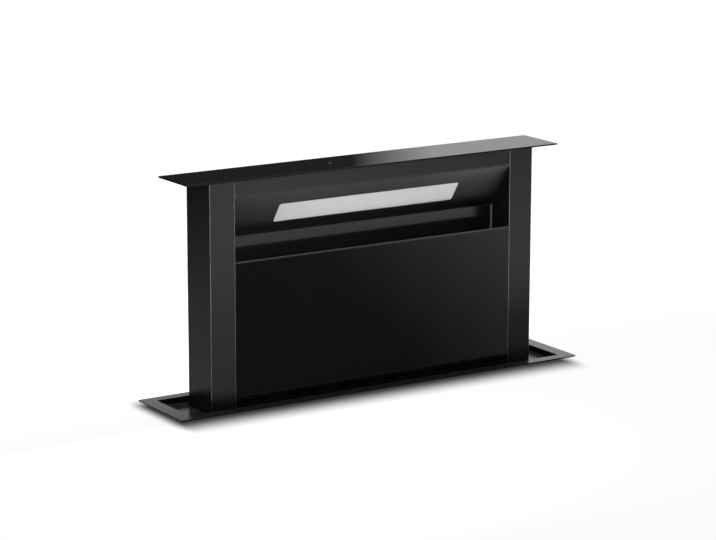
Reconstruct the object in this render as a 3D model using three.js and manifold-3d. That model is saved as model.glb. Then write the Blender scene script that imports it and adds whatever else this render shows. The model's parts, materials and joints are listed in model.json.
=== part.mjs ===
// Downdraft vent: an extractor that rises out of a kitchen worktop behind the hob.
// A steel tower with a slanted light panel and an intake slot slides up through a recessed
// frame in the worktop. Below the worktop hang the casing, a twin-screw lift and the blower.
//
// Millimetres. While the pieces are made, x runs along the worktop, y from the front to the
// back with 0 at the tower's middle, and z up with 0 at the worktop's surface. The last lines
// move the whole group so that its origin is at the middle of its base.

import * as THREE from 'three';
import { mergeVertices } from 'three/addons/utils/BufferGeometryUtils.js';
import Module from 'manifold-3d';

const wasm = await Module();
wasm.setup();

// ---------- Driving dimensions ----------

const SHEET = 1.5;                 // folded sheet steel of the tower and the casing
const FIT = 0.3;                   // gap between pieces that seat in one another

// Frame let into the worktop
const FRAME_LENGTH = 900;
const FRAME_DEPTH = 170;
const FRAME_CORNER = 4;
const RIM_END = 29;                // width of the flat rim at the frame's ends
const RIM_SIDE = 22;               // and along its front and back
const RIM_THICKNESS = 2;
const GASKET_THICKNESS = 1.5;
const GASKET_INSET = 3;
const RECESS_CORNER = 3;
const RECESS_DROP = 12;            // from the rim's top to the tray floor
const OPENING_CLEARANCE = 2;       // round the tower, where it passes the tray floor
const WIPER_LIP = 6;               // width of the wiper's fixing strip
const WIPER_THICKNESS = 2;

// Lid, which sinks into the recess
const LID_END_GAP = 5;
const LID_SIDE_GAP = 7;
const LID_THICKNESS = 3;
const LID_CORNER = 2;
const LID_BEVEL = 0.6;
const LID_CARRIER_INSET = 14;       // keeps it out of sight under the glass

// Tower
const LID_OVERHANG = 52;           // lid past the tower's end
const TOWER_DEPTH = 86;
const TOWER_TAIL = 95;             // length that stays below the worktop when raised
const RISE = 428.5;                // lid top above rim top when raised, which is the travel
const POST_WIDTH = 54;
const POST_CORNER = 1.6;
const HEAD_HEIGHT = 29.5;          // front face between the lid and the intake
const HEAD_RETURN = 10;
const INTAKE_HEIGHT = 123;         // from the glass's top edge to the head
const INTAKE_DEPTH = 60;           // from the front face to the duct's back wall
const LIGHT_DROP = 87.5;           // height of the slanted light panel
const DUCT_FLANGE = 12;
const BASE_THICKNESS = 3;
const BASE_MARGIN = 10;            // steel left round the base plate's air opening

// Lamp in the slanted panel
const WINDOW_LENGTH = 405;
const WINDOW_HEIGHT = 46.5;
const WINDOW_CORNER = 4;
const WINDOW_DROP = 2.4;           // window's middle below the panel's middle
const DIFFUSER_LIP = 6;
const DIFFUSER_THICKNESS = 2;
const LENS_SEAT = 0.5;             // how far the lens runs into the plate behind it
const LIGHT_BOX_DEPTH = 8;
const BOARD_THICKNESS = 1.6;
const LED_COUNT = 16;
const LED_SIZE = 5;
const LED_HEIGHT = 1.2;

// Touch control under the lid
const TOUCH_X = -77;
const TOUCH_LENGTH = 44;
const TOUCH_WIDTH = 22;

// Removable front panel
const GLASS_THICKNESS = 4;
const GLASS_SIDE_GAP = 0.8;
const GLASS_FOOT = 2.5;            // glass's lower edge above the rim's top
const GLASS_INSET = 4;             // carrier's edge inside the glass's edge
const STUD_RADIUS = 3;
const STUD_LENGTH = 10;
const STUD_EDGE = 18;              // studs' height in from the glass's top and bottom edges
const RAIL_THICKNESS = 3;
const RAIL_WIDTH = 15;
const SOCKET_SIZE = 9;
const SOCKET_HEIGHT = 16;

// Grease filters
const FILTER_HEIGHT = 190;
const FILTER_THICKNESS = 9;
const FILTER_HEAD_GAP = 2;         // from the filters' upper edge to the duct's back wall
const FILTER_FOOT = 60;            // filters' lower edge above the worktop
const FILTER_BORDER = 11;
const FILTER_SKIN = 1.2;
const PLEAT_COUNT = 18;
const PLEAT_SHEET = 1.4;
const LEDGE_DEPTH = 17;
const LEDGE_LIP = 9;

// Casing below the worktop
const CASING_END_ROOM = 36;        // casing past the tower's end, for the lift
const CASING_SIDE_ROOM = 19;       // casing past the tower's front and back
const CASING_FLANGE = 8;
const END_FLANGE = 15;
const PAN_LIP = 12;
const FOOT_HEIGHT = 20;
const FOOT_FLANGE = 42;
const FOOT_SETBACK = 18;           // foot's web inside the casing's end
const FOOT_REACH = 128;            // foot's end behind the tower's middle
const FOOT_SLOT_WIDTH = 7;
const FOOT_SLOT_LENGTH = 22;

// Lift
const ROD_RADIUS = 5;
const ROD_Y = -22;
const SCREW_RADIUS = 6;
const SCREW_Y = 10;
const JOURNAL_RADIUS = 4;
const LIFT_FOOT_HEIGHT = 40;
const LIFT_SEAT = 18;              // how deep rod and journal sit in the foot block
const CARRIAGE_HEIGHT = 56;
const CARRIAGE_LIP = 8;
const CARRIAGE_TONGUE = 34;        // reach of the carriage under the tower's base
const BLOCK_THICKNESS = 27;        // foot block and carriage, along the worktop
const BLOCK_WALL = 9;              // block round the rod and the nut
const BLOCK_CORNER = 3;
const BOTTOM_GAP = 6;              // carriage above the foot block when lowered
const TOP_GAP = 6;                 // carriage below the upper bracket when raised
const BRACKET_HEIGHT = 10;
const NUT_RADIUS = 10.5;
const NUT_LENGTH = 26;
const NUT_FLANGE = 2.2;
const NUT_FLANGE_HEIGHT = 4;
const GEARBOX_LENGTH = 44;
const GEARBOX_X = -30;
const GEARBOX_WALL = 18;
const GEARBOX_CORNER = 4;
const MOTOR_RADIUS = 18;
const MOTOR_LENGTH = 92;
const MOTOR_CAP = 5;               // bearing cap on the motor's end
const MOTOR_MARGIN = 2;            // gearbox past the motor's can
const MOTOR_Y = -22;
const SWITCH_HEIGHT = 20;
const SWITCH_WIDTH = 16;
const SWITCH_DEPTH = 9;
const SWITCH_GAP = 1;
const LEVER_REACH = 3;
const LEVER_INSET = 2;

// Blower on the casing's back
const FAN_SETBACK = 185;           // fan's axis to the left of the control box
const FAN_DROP = 300;              // fan's axis below the worktop
const FAN_RADIUS = 85;
const FAN_WIDTH = 78;
const FAN_CLEARANCE = 7;           // running gap to the scroll's tongue and its end plates
const BLADE_COUNT = 28;
const BLADE_DEPTH = 15;
const BLADE_THICKNESS = 1.5;
const BLADE_SWEEP = 15 * Math.PI / 180;
const BLADE_STEPS = 3;
const BLADE_SEAT = 1;              // blades end inside the plate and the ring
const BLADE_SETBACK = 0.4;         // blades' tips inside the wheel's rim
const FAN_PLATE = 2.5;
const HUB_RADIUS = 16;
const HUB_CLEARANCE = 4;           // scroll's back plate round the hub
const SHAFT_RADIUS = 6;
const SHAFT_LENGTH = 30;
const SCROLL_WALL = 2.5;
const SCROLL_GROWTH = 95;          // how much the scroll's radius grows up to its outlet
const SCROLL_STEPS = 32;
const TONGUE_ANGLE = 125 * Math.PI / 180;
const OUTLET_REACH = 150;          // outlet's plane from the fan's axis
const SPLIT_FLANGE = 5;
const SPLIT_FLANGE_THICKNESS = 3;
const INLET_RADIUS = 72;
const INLET_LIP = 5;
const FAN_MOTOR_RADIUS = 52;
const FAN_MOTOR_LENGTH = 46;
const FAN_MOTOR_FLANGE = 8;
const FAN_MOTOR_PLATE = 3;
const FAN_CAP_INSET = 12;          // end cap inside the motor's ribs
const FAN_CAP_HEIGHT = 5;
const RIB_COUNT = 16;
const RIB_DEPTH = 3;
const RIB_THICKNESS = 2.4;
const RIB_SETBACK = 8;             // ribs' end below the end cap's face

// Round duct spigot with its backdraught flaps
const SPIGOT_RADIUS = 74.5;        // outside, for 150 mm duct
const SPIGOT_WALL = 2;
const SPIGOT_LENGTH = 52;
const SPIGOT_BEAD = 1.5;
const BEAD_START = 6;              // bead's first edge in from the spigot's mouth
const BEAD_WIDTH = 6;
const TRANSITION_LENGTH = 60;
const SPIGOT_FLANGE = 9;
const SPIGOT_FLANGE_THICKNESS = 3;
const SPIGOT_STEPS = 32;
const FLAP_OFFSET = 14;            // flap hinge in from the start of the round spigot
const FLAP_GAP = 1.5;
const FLAP_THICKNESS = 1.4;
const PIN_RADIUS = 1.5;
const KNUCKLE_RADIUS = 3.6;
const KNUCKLE_TAB = 2;             // tab between a knuckle and its leaf
const FRONT_KNUCKLES = [[-0.9, -0.5], [0.5, 0.9]];   // as shares of the flap's radius
const REAR_KNUCKLES = [[-0.48, 0.48]];

// Control box on the casing's back
const BOX_LENGTH = 150;
const BOX_HEIGHT = 190;
const BOX_DEPTH = 42;
const BOX_END_GAP = 25;            // box's side inside the casing's right end
const BOX_DROP = 60;               // box's top below the worktop
const BOX_WALL = 2.5;
const BOX_CORNER = 6;
const GLAND_RADIUS = 9;
const GLAND_NOSE = 6.5;
const GLAND_BORE = 4.5;
const GLAND_FLANGE = 4;
const GLAND_LENGTH = 20;

// ---------- Places worked out from the dimensions ----------

const recessLength = FRAME_LENGTH - 2 * RIM_END;
const recessWidth = FRAME_DEPTH - 2 * RIM_SIDE;
const lidLength = recessLength - 2 * LID_END_GAP;
const lidDepth = recessWidth - 2 * LID_SIDE_GAP;
const towerLength = lidLength - 2 * LID_OVERHANG;
const casingLength = towerLength + 2 * CASING_END_ROOM;
const casingDepth = TOWER_DEPTH + 2 * CASING_SIDE_ROOM;

const rimUnder = GASKET_THICKNESS;
const rimTop = rimUnder + RIM_THICKNESS;
const trayFloor = rimTop - RECESS_DROP;
const trayUnder = trayFloor - SHEET;

const front = -TOWER_DEPTH / 2;
const back = TOWER_DEPTH / 2;
const postOuter = towerLength / 2;
const postInner = postOuter - POST_WIDTH;
const lidTop = rimTop + RISE;
const lidUnder = lidTop - LID_THICKNESS;
const headTop = lidUnder - SHEET;
const headUnder = headTop - HEAD_HEIGHT;
const glassTop = headUnder - INTAKE_HEIGHT;
const glassFoot = rimTop + GLASS_FOOT;
const glassBack = front + GLASS_THICKNESS;
const carrierBack = glassBack + SHEET;
const ductBack = front + INTAKE_DEPTH;
const towerFoot = -TOWER_TAIL;
const baseUnder = towerFoot - BASE_THICKNESS;

const slant = Math.hypot(INTAKE_DEPTH, LIGHT_DROP);
const windowY = slant / 2 + WINDOW_DROP;
const slantTilt = Math.atan2(-LIGHT_DROP, INTAKE_DEPTH);
// the slanted sheet starts just low enough for its back edge to clear the head
const slantTop = headUnder - FIT - SHEET * INTAKE_DEPTH / slant;
const ductTop = slantTop - LIGHT_DROP - FIT;

const carriageUnder = baseUnder - FIT - CARRIAGE_LIP;
const carriageTop = carriageUnder + CARRIAGE_HEIGHT;
const liftFootTop = carriageUnder - RISE - BOTTOM_GAP;
const panTop = liftFootTop - LIFT_FOOT_HEIGHT;
const panUnder = panTop - SHEET;
const floorLevel = panUnder - FOOT_HEIGHT;
const shaftZ = panTop + LIFT_FOOT_HEIGHT / 2;
const bracketUnder = carriageTop + TOP_GAP;
const blockInner = postOuter + FIT;
const blockOuter = blockInner + BLOCK_THICKNESS;
const liftX = blockInner + BLOCK_THICKNESS / 2;
const blockFront = ROD_Y - ROD_RADIUS - BLOCK_WALL;
const blockBack = SCREW_Y + NUT_RADIUS + BLOCK_WALL;
const casingEnd = casingLength / 2;
const casingBack = casingDepth / 2;

const boxX = casingEnd - BOX_END_GAP - BOX_LENGTH / 2;
const fanX = boxX - BOX_LENGTH / 2 - FAN_SETBACK;
const fanZ = -FAN_DROP;
const voluteFront = casingBack + FIT;
const airwayFront = voluteFront + SCROLL_WALL;
const fanFront = airwayFront + FAN_CLEARANCE;
const fanBack = fanFront + FAN_WIDTH;
const airwayBack = fanBack + FAN_CLEARANCE;
const voluteBack = airwayBack + SCROLL_WALL;
const voluteSplit = (airwayFront + airwayBack) / 2;
const scrollMin = FAN_RADIUS + FAN_CLEARANCE;
const scrollMax = scrollMin + SCROLL_GROWTH;
const scrollTurn = Math.PI / 2 + 2 * Math.PI - TONGUE_ANGLE;
const tongueZ = scrollMin * Math.sin(TONGUE_ANGLE);
const outletX = fanX - OUTLET_REACH;
const spigotY = casingBack + FIT + SPIGOT_FLANGE + SPIGOT_RADIUS;
const spigotZ = fanZ + (scrollMax + tongueZ) / 2;
const spigotStart = outletX - FIT - TRANSITION_LENGTH;
const hingeX = spigotStart - FLAP_OFFSET;

// ---------- Materials ----------

function finish(color, roughness, metalness) {
  return new THREE.MeshStandardMaterial({ color, roughness, metalness });
}

const blackSteel = finish(0x1c1c1d, 0.35, 0.6);
const blackGlass = finish(0x0b0b0c, 0.08, 0.0);
const zincSteel = finish(0xa9adb0, 0.45, 0.9);
const brightSteel = finish(0xc3c6c8, 0.25, 1.0);
const aluminium = finish(0xb9bcbe, 0.4, 0.9);
const castAlloy = finish(0x8d9092, 0.6, 0.8);
const blackPlastic = finish(0x202122, 0.6, 0.0);
const greyPlastic = finish(0x6d7073, 0.6, 0.0);
const bronze = finish(0xa27a42, 0.4, 0.9);
const frosted = finish(0xd6d8d8, 0.5, 0.0);
const circuitBoard = finish(0x1e4a30, 0.6, 0.0);
const rubber = finish(0x141414, 0.9, 0.0);

// ---------- Solids ----------

// A closed three.js geometry as a manifold solid.
function solid(geometry) {
  const source = geometry.index ? geometry.toNonIndexed() : geometry;
  const bare = new THREE.BufferGeometry();
  bare.setAttribute('position', source.getAttribute('position'));
  const merged = mergeVertices(bare, 1e-4);
  return new wasm.Manifold(new wasm.Mesh({
    numProp: 3,
    vertProperties: merged.attributes.position.array,
    triVerts: new Uint32Array(merged.index.array),
  }));
}

// A manifold solid as a flat-shaded three.js geometry.
function geometryOf(made) {
  const mesh = made.getMesh();
  const indexed = new THREE.BufferGeometry();
  indexed.setAttribute('position', new THREE.BufferAttribute(mesh.vertProperties, 3));
  indexed.setIndex(new THREE.BufferAttribute(mesh.triVerts, 1));
  const geometry = indexed.toNonIndexed();
  geometry.computeVertexNormals();
  return geometry;
}

function join(solids) {
  return solids.reduce((all, next) => all.add(next));
}

function block(x0, x1, y0, y1, z0, z1) {
  const box = new THREE.BoxGeometry(x1 - x0, y1 - y0, z1 - z0);
  return solid(box.translate((x0 + x1) / 2, (y0 + y1) / 2, (z0 + z1) / 2));
}

function roundedRectangle(width, height, radius, cx = 0, cy = 0) {
  const shape = new THREE.Shape();
  const right = cx + width / 2 - radius;
  const top = cy + height / 2 - radius;
  const left = cx - width / 2 + radius;
  const bottom = cy - height / 2 + radius;
  shape.absarc(right, top, radius, 0, Math.PI / 2);
  shape.absarc(left, top, radius, Math.PI / 2, Math.PI);
  shape.absarc(left, bottom, radius, Math.PI, 1.5 * Math.PI);
  shape.absarc(right, bottom, radius, 1.5 * Math.PI, 2 * Math.PI);
  return shape;
}

function circle(radius, cx = 0, cy = 0) {
  return new THREE.Shape().absarc(cx, cy, radius, 0, 2 * Math.PI);
}

// Section of folded sheet. The points run along one face and the sheet lies to their left.
function sheetSection(points, thickness = SHEET) {
  const corners = points.map(([x, y]) => new THREE.Vector2(x, y));
  const leftOf = (a, b) => {
    const along = b.clone().sub(a).normalize();
    return new THREE.Vector2(-along.y, along.x);
  };
  const offset = corners.map((corner, i) => {
    const before = i > 0 ? leftOf(corners[i - 1], corner) : null;
    const after = i < corners.length - 1 ? leftOf(corner, corners[i + 1]) : null;
    const one = before ?? after;
    const other = after ?? before;
    const mitre = one.clone().add(other).multiplyScalar(thickness / (1 + one.dot(other)));
    return corner.clone().add(mitre);
  });
  return new THREE.Shape([...corners, ...offset.reverse()]);
}

const CORNER = 2;                  // curve segments of a sheet's corner
const NEAT_CORNER = 8;             // of the window's corners and the knuckles
const PIN_ROUND = 6;               // of the damper's pin
const ROUND = 10;                  // of a small round
const MOTOR_ROUND = 16;
const LARGE_ROUND = 20;            // of the blower's openings
const WHEEL_ROUND = 28;
const PAST = 1;                    // how far a cut runs past the face that it opens

// Prisms: the shape's own axes are x and y, y and z, or x and z.
function prismZ(shape, z0, z1, curveSegments = CORNER) {
  const options = { depth: z1 - z0, bevelEnabled: false, curveSegments };
  return solid(new THREE.ExtrudeGeometry(shape, options).translate(0, 0, z0));
}

function prismX(shape, x0, x1, curveSegments = CORNER) {
  const options = { depth: x1 - x0, bevelEnabled: false, curveSegments };
  const geometry = new THREE.ExtrudeGeometry(shape, options);
  return solid(geometry.rotateX(Math.PI / 2).rotateZ(Math.PI / 2).translate(x0, 0, 0));
}

function prismY(shape, y0, y1, curveSegments = CORNER) {
  const options = { depth: y1 - y0, bevelEnabled: false, curveSegments };
  return solid(new THREE.ExtrudeGeometry(shape, options).rotateX(Math.PI / 2).translate(0, y1, 0));
}

// A turned solid: pairs of radius and height up its axis, which is z at (x, y).
function turned(profile, x, y, segments = 2 * ROUND) {
  const points = profile.map(([radius, height]) => new THREE.Vector2(radius, height));
  const lathe = new THREE.LatheGeometry(points, segments);
  return solid(lathe.rotateX(Math.PI / 2).translate(x, y, 0));
}

// A rod along z at (x, y), and one along y at (x, z).
function rodZ(radius, x, y, z0, z1, segments = ROUND) {
  return prismZ(circle(radius, x, y), z0, z1, segments);
}

function rodY(radius, x, z, y0, y1, segments = ROUND) {
  return prismY(circle(radius, x, z), y0, y1, segments);
}

function rodX(radius, y, z, x0, x1, segments = ROUND) {
  return prismX(circle(radius, y, z), x0, x1, segments);
}

function frameZ(length, width, radius, innerLength, innerWidth, innerRadius, z0, z1) {
  const outer = prismZ(roundedRectangle(length, width, radius), z0, z1);
  const inner = prismZ(roundedRectangle(innerLength, innerWidth, innerRadius), z0 - PAST, z1 + PAST);
  return outer.subtract(inner);
}

function add(group, name, made, material) {
  const mesh = new THREE.Mesh(geometryOf(made), material);
  mesh.name = name;
  group.add(mesh);
  return mesh;
}

// Pieces that come as a left and a right one. The right one is made, at side 1, and mirrored.
function addPair(group, name, make, material) {
  const right = make();
  add(group, `${name}_right`, right, material);
  add(group, `${name}_left`, right.mirror([1, 0, 0]), material);
}

// ---------- Worktop frame ----------

function worktopFrame() {
  const rim = prismZ(roundedRectangle(FRAME_LENGTH, FRAME_DEPTH, FRAME_CORNER), rimUnder, rimTop);
  const trayLength = recessLength + 2 * SHEET;
  const trayWidth = recessWidth + 2 * SHEET;
  const tray = prismZ(
    roundedRectangle(trayLength, trayWidth, RECESS_CORNER + SHEET), trayUnder, rimTop);
  const recess = roundedRectangle(recessLength, recessWidth, RECESS_CORNER);
  const opening = roundedRectangle(
    towerLength + 2 * OPENING_CLEARANCE, TOWER_DEPTH + 2 * OPENING_CLEARANCE,
    POST_CORNER + OPENING_CLEARANCE);
  return rim.add(tray)
    .subtract(prismZ(recess, trayFloor, rimTop + PAST))
    .subtract(prismZ(opening, trayUnder - PAST, trayFloor + PAST));
}

// Foam tape under the rim.
function frameGasket() {
  return frameZ(
    FRAME_LENGTH - 2 * GASKET_INSET, FRAME_DEPTH - 2 * GASKET_INSET, FRAME_CORNER,
    recessLength + 2 * SHEET + 2 * FIT, recessWidth + 2 * SHEET + 2 * FIT,
    RECESS_CORNER + SHEET, 0, rimUnder);
}

// Rubber lip under the tray floor that wipes the tower.
function columnWiper() {
  const outer = 2 * (OPENING_CLEARANCE + WIPER_LIP);
  return frameZ(
    towerLength + outer, TOWER_DEPTH + outer, POST_CORNER + OPENING_CLEARANCE,
    towerLength + 2 * FIT, TOWER_DEPTH + 2 * FIT, POST_CORNER + FIT,
    trayUnder - WIPER_THICKNESS, trayUnder);
}

// ---------- Casing ----------

function casingWall() {
  const section = sheetSection([
    [-casingBack + CASING_FLANGE, trayUnder], [-casingBack, trayUnder], [-casingBack, panTop],
  ]);
  return prismX(section, -casingEnd, casingEnd);
}

function casingBackWall() {
  const hole = rodY(
    INLET_RADIUS + INLET_LIP, fanX, fanZ, casingBack - 2 * SHEET, casingBack + PAST, LARGE_ROUND);
  return casingWall().mirror([0, 1, 0]).subtract(hole);
}

// The end is a channel between the front and back walls.
function casingEndWall() {
  const side = casingBack - SHEET - FIT;
  const section = sheetSection([
    [casingEnd - END_FLANGE, -side], [casingEnd, -side],
    [casingEnd, side], [casingEnd - END_FLANGE, side],
  ]);
  return prismZ(section, panTop, trayUnder - SHEET - FIT);
}

function casingPan() {
  const inner = [casingLength + 2 * FIT, casingDepth + 2 * FIT];
  const outer = roundedRectangle(inner[0] + 2 * SHEET, inner[1] + 2 * SHEET, SHEET);
  const hollow = block(
    -inner[0] / 2, inner[0] / 2, -inner[1] / 2, inner[1] / 2, panTop, panTop + PAN_LIP + PAST);
  return prismZ(outer, panUnder, panTop + PAN_LIP).subtract(hollow);
}

// Z-shaped rail that stands on the cabinet floor, with slots for its screws.
function foot() {
  const web = casingEnd - FOOT_SETBACK;
  const section = sheetSection([
    [web - FOOT_FLANGE, panUnder], [web, panUnder], [web, floorLevel + SHEET],
    [web + FOOT_FLANGE, floorLevel + SHEET],
  ].reverse());
  const middle = web + FOOT_FLANGE / 2;
  const slots = [-casingBack / 2, FOOT_REACH - casingBack / 2].map((y) => prismZ(
    roundedRectangle(FOOT_SLOT_WIDTH, FOOT_SLOT_LENGTH, FOOT_SLOT_WIDTH / 2, middle, y),
    floorLevel - PAST, floorLevel + 2 * SHEET));
  return prismY(section, -casingBack, FOOT_REACH).subtract(join(slots));
}

// ---------- Lift ----------

function liftBlock(z0, z1, outer = blockOuter) {
  const y = (blockFront + blockBack) / 2;
  const x = (blockInner + outer) / 2;
  const outline = roundedRectangle(outer - blockInner, blockBack - blockFront, BLOCK_CORNER, x, y);
  return prismZ(outline, z0, z1);
}

// Foot of the lift: it holds the guide rod and the screw's journal over the bevel gears.
function liftFoot() {
  const rodSeat = rodZ(
    ROD_RADIUS + FIT, liftX, ROD_Y, liftFootTop - LIFT_SEAT, liftFootTop + PAST);
  const journalSeat = rodZ(
    JOURNAL_RADIUS + FIT, liftX, SCREW_Y, liftFootTop - LIFT_SEAT, liftFootTop + PAST);
  const shaftSeat = rodX(
    JOURNAL_RADIUS + FIT, SCREW_Y, shaftZ, blockInner - PAST, blockInner + BLOCK_THICKNESS / 4);
  return liftBlock(panTop, liftFootTop).subtract(join([rodSeat, journalSeat, shaftSeat]));
}

// Upper bracket, screwed to the casing's end.
function upperBracket() {
  const end = casingEnd - SHEET - FIT;
  const top = bracketUnder + BRACKET_HEIGHT;
  const holes = [
    rodZ(ROD_RADIUS + FIT, liftX, ROD_Y, bracketUnder - PAST, top + PAST),
    rodZ(JOURNAL_RADIUS + FIT, liftX, SCREW_Y, bracketUnder - PAST, top + PAST),
  ];
  return liftBlock(bracketUnder, top, end).subtract(join(holes));
}

function guideRod() {
  return rodZ(
    ROD_RADIUS, liftX, ROD_Y, liftFootTop - LIFT_SEAT + FIT, bracketUnder + BRACKET_HEIGHT);
}

function liftScrew() {
  const top = bracketUnder + BRACKET_HEIGHT;
  return turned([
    [0, liftFootTop - LIFT_SEAT + FIT], [JOURNAL_RADIUS, liftFootTop - LIFT_SEAT + FIT],
    [JOURNAL_RADIUS, liftFootTop + FIT], [SCREW_RADIUS, liftFootTop + FIT],
    [SCREW_RADIUS, bracketUnder - FIT], [JOURNAL_RADIUS, bracketUnder - FIT],
    [JOURNAL_RADIUS, top], [0, top],
  ], liftX, SCREW_Y);
}

function crossShaft() {
  const end = blockInner + BLOCK_THICKNESS / 4 - FIT;
  return rodX(JOURNAL_RADIUS, SCREW_Y, shaftZ, -end, end);
}

// The carriage slides on the rod, holds the nut and reaches under the tower's base.
function carriage() {
  const tongue = block(
    postOuter - CARRIAGE_TONGUE, blockInner + BLOCK_WALL, blockFront, blockBack,
    carriageUnder, carriageUnder + CARRIAGE_LIP);
  const rodHole = rodZ(
    ROD_RADIUS + FIT, liftX, ROD_Y, carriageUnder - PAST, carriageTop + PAST);
  const nutHole = rodZ(
    NUT_RADIUS + FIT, liftX, SCREW_Y, carriageUnder - PAST, carriageTop + PAST);
  const flangeSeat = rodZ(
    NUT_RADIUS + NUT_FLANGE + FIT, liftX, SCREW_Y,
    carriageTop - NUT_FLANGE_HEIGHT - FIT, carriageTop + PAST);
  return liftBlock(carriageUnder, carriageTop).add(tongue)
    .subtract(join([rodHole, nutHole, flangeSeat]));
}

function liftNut() {
  const bore = SCREW_RADIUS + FIT;
  const seat = carriageTop - NUT_FLANGE_HEIGHT;
  const foot = carriageTop - NUT_LENGTH;
  return turned([
    [bore, foot], [NUT_RADIUS, foot], [NUT_RADIUS, seat], [NUT_RADIUS + NUT_FLANGE, seat],
    [NUT_RADIUS + NUT_FLANGE, carriageTop], [bore, carriageTop], [bore, foot],
  ], liftX, SCREW_Y);
}

function liftGearbox() {
  const y0 = MOTOR_Y - MOTOR_RADIUS - MOTOR_MARGIN;
  const y1 = SCREW_Y + GEARBOX_WALL;
  const outline = roundedRectangle(
    GEARBOX_LENGTH, y1 - y0, GEARBOX_CORNER, GEARBOX_X, (y0 + y1) / 2);
  const shaftHole = rodX(
    JOURNAL_RADIUS + FIT, SCREW_Y, shaftZ,
    GEARBOX_X - GEARBOX_LENGTH, GEARBOX_X + GEARBOX_LENGTH);
  return prismZ(outline, panTop, shaftZ + GEARBOX_WALL).subtract(shaftHole);
}

function liftMotor() {
  const face = GEARBOX_X + GEARBOX_LENGTH / 2 + FIT;
  const end = face + MOTOR_LENGTH;
  const can = rodX(MOTOR_RADIUS, MOTOR_Y, shaftZ, face, end, MOTOR_ROUND);
  const cap = rodX(MOTOR_RADIUS / 2, MOTOR_Y, shaftZ, end - MOTOR_CAP, end + MOTOR_CAP);
  return can.add(cap);
}

// Limit switch on the left end wall: a body and the lever that the carriage presses.
function limitSwitch(z) {
  const wall = -casingEnd + SHEET + FIT;
  const face = blockBack + SWITCH_GAP + LEVER_REACH;
  const body = block(wall, wall + SWITCH_DEPTH, face, face + SWITCH_WIDTH,
    z - SWITCH_HEIGHT / 2, z + SWITCH_HEIGHT / 2);
  const lever = block(
    wall + LEVER_INSET, wall + SWITCH_DEPTH - LEVER_INSET, face - LEVER_REACH, face + LEVER_INSET,
    z - SWITCH_HEIGHT / 4, z + SWITCH_HEIGHT / 4);
  return body.add(lever);
}

// ---------- Tower ----------

function post() {
  const x = (postOuter + postInner) / 2;
  const outer = roundedRectangle(POST_WIDTH, TOWER_DEPTH, POST_CORNER, x, 0);
  const inner = roundedRectangle(
    POST_WIDTH - 2 * SHEET, TOWER_DEPTH - 2 * SHEET, POST_CORNER / 4, x, 0);
  outer.holes.push(new THREE.Path(inner.getPoints(1)));
  return prismZ(outer, towerFoot, headTop);
}

const betweenPosts = postInner - FIT;

function headBeam() {
  const section = sheetSection([
    [back, headTop], [front, headTop], [front, headUnder], [front + HEAD_RETURN, headUnder],
  ]);
  return prismX(section, -betweenPosts, betweenPosts);
}

function towerBack() {
  const section = sheetSection([
    [betweenPosts, back - DUCT_FLANGE], [betweenPosts, back],
    [-betweenPosts, back], [-betweenPosts, back - DUCT_FLANGE],
  ]);
  return prismZ(section, towerFoot, headTop - SHEET - FIT);
}

function ductBackWall() {
  const section = sheetSection([
    [-betweenPosts, ductBack + DUCT_FLANGE], [-betweenPosts, ductBack],
    [betweenPosts, ductBack], [betweenPosts, ductBack + DUCT_FLANGE],
  ]);
  return prismZ(section, towerFoot, ductTop);
}

function lowerFront() {
  const top = glassFoot - FIT;
  const section = sheetSection([
    [front + HEAD_RETURN, top], [front, top], [front, towerFoot],
  ]);
  return prismX(section, -betweenPosts, betweenPosts);
}

function towerBase() {
  const plate = prismZ(
    roundedRectangle(towerLength, TOWER_DEPTH, POST_CORNER), baseUnder, towerFoot);
  const opening = block(
    -postInner + BASE_MARGIN, postInner - BASE_MARGIN,
    front + BASE_MARGIN, ductBack - FIT, baseUnder - PAST, towerFoot + PAST);
  return plate.subtract(opening);
}

// Slanted panel, in its own frame: x along it, y down the slant, z behind its face.
function lightPanel() {
  const panel = block(-betweenPosts, betweenPosts, 0, slant, 0, SHEET);
  const window = roundedRectangle(WINDOW_LENGTH, WINDOW_HEIGHT, WINDOW_CORNER, 0, windowY);
  return panel.subtract(prismZ(window, -PAST, SHEET + PAST, NEAT_CORNER));
}

// Frosted diffuser: a lens that fills the window, a plate behind it and the light box's walls.
function lightDiffuser() {
  const y = windowY;
  const seat = SHEET + FIT;
  const lens = roundedRectangle(
    WINDOW_LENGTH - 2 * FIT, WINDOW_HEIGHT - 2 * FIT, WINDOW_CORNER - FIT, 0, y);
  const length = WINDOW_LENGTH + 2 * DIFFUSER_LIP;
  const height = WINDOW_HEIGHT + 2 * DIFFUSER_LIP;
  const plate = block(
    -length / 2, length / 2, y - height / 2, y + height / 2, seat, seat + DIFFUSER_THICKNESS);
  const rim = block(
    -length / 2, length / 2, y - height / 2, y + height / 2,
    seat, seat + DIFFUSER_THICKNESS + LIGHT_BOX_DEPTH);
  const hollow = block(
    -WINDOW_LENGTH / 2, WINDOW_LENGTH / 2, y - WINDOW_HEIGHT / 2, y + WINDOW_HEIGHT / 2,
    seat + DIFFUSER_THICKNESS, seat + DIFFUSER_THICKNESS + LIGHT_BOX_DEPTH + PAST);
  return prismZ(lens, FIT, seat + LENS_SEAT, NEAT_CORNER).add(plate).add(rim.subtract(hollow));
}

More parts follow.
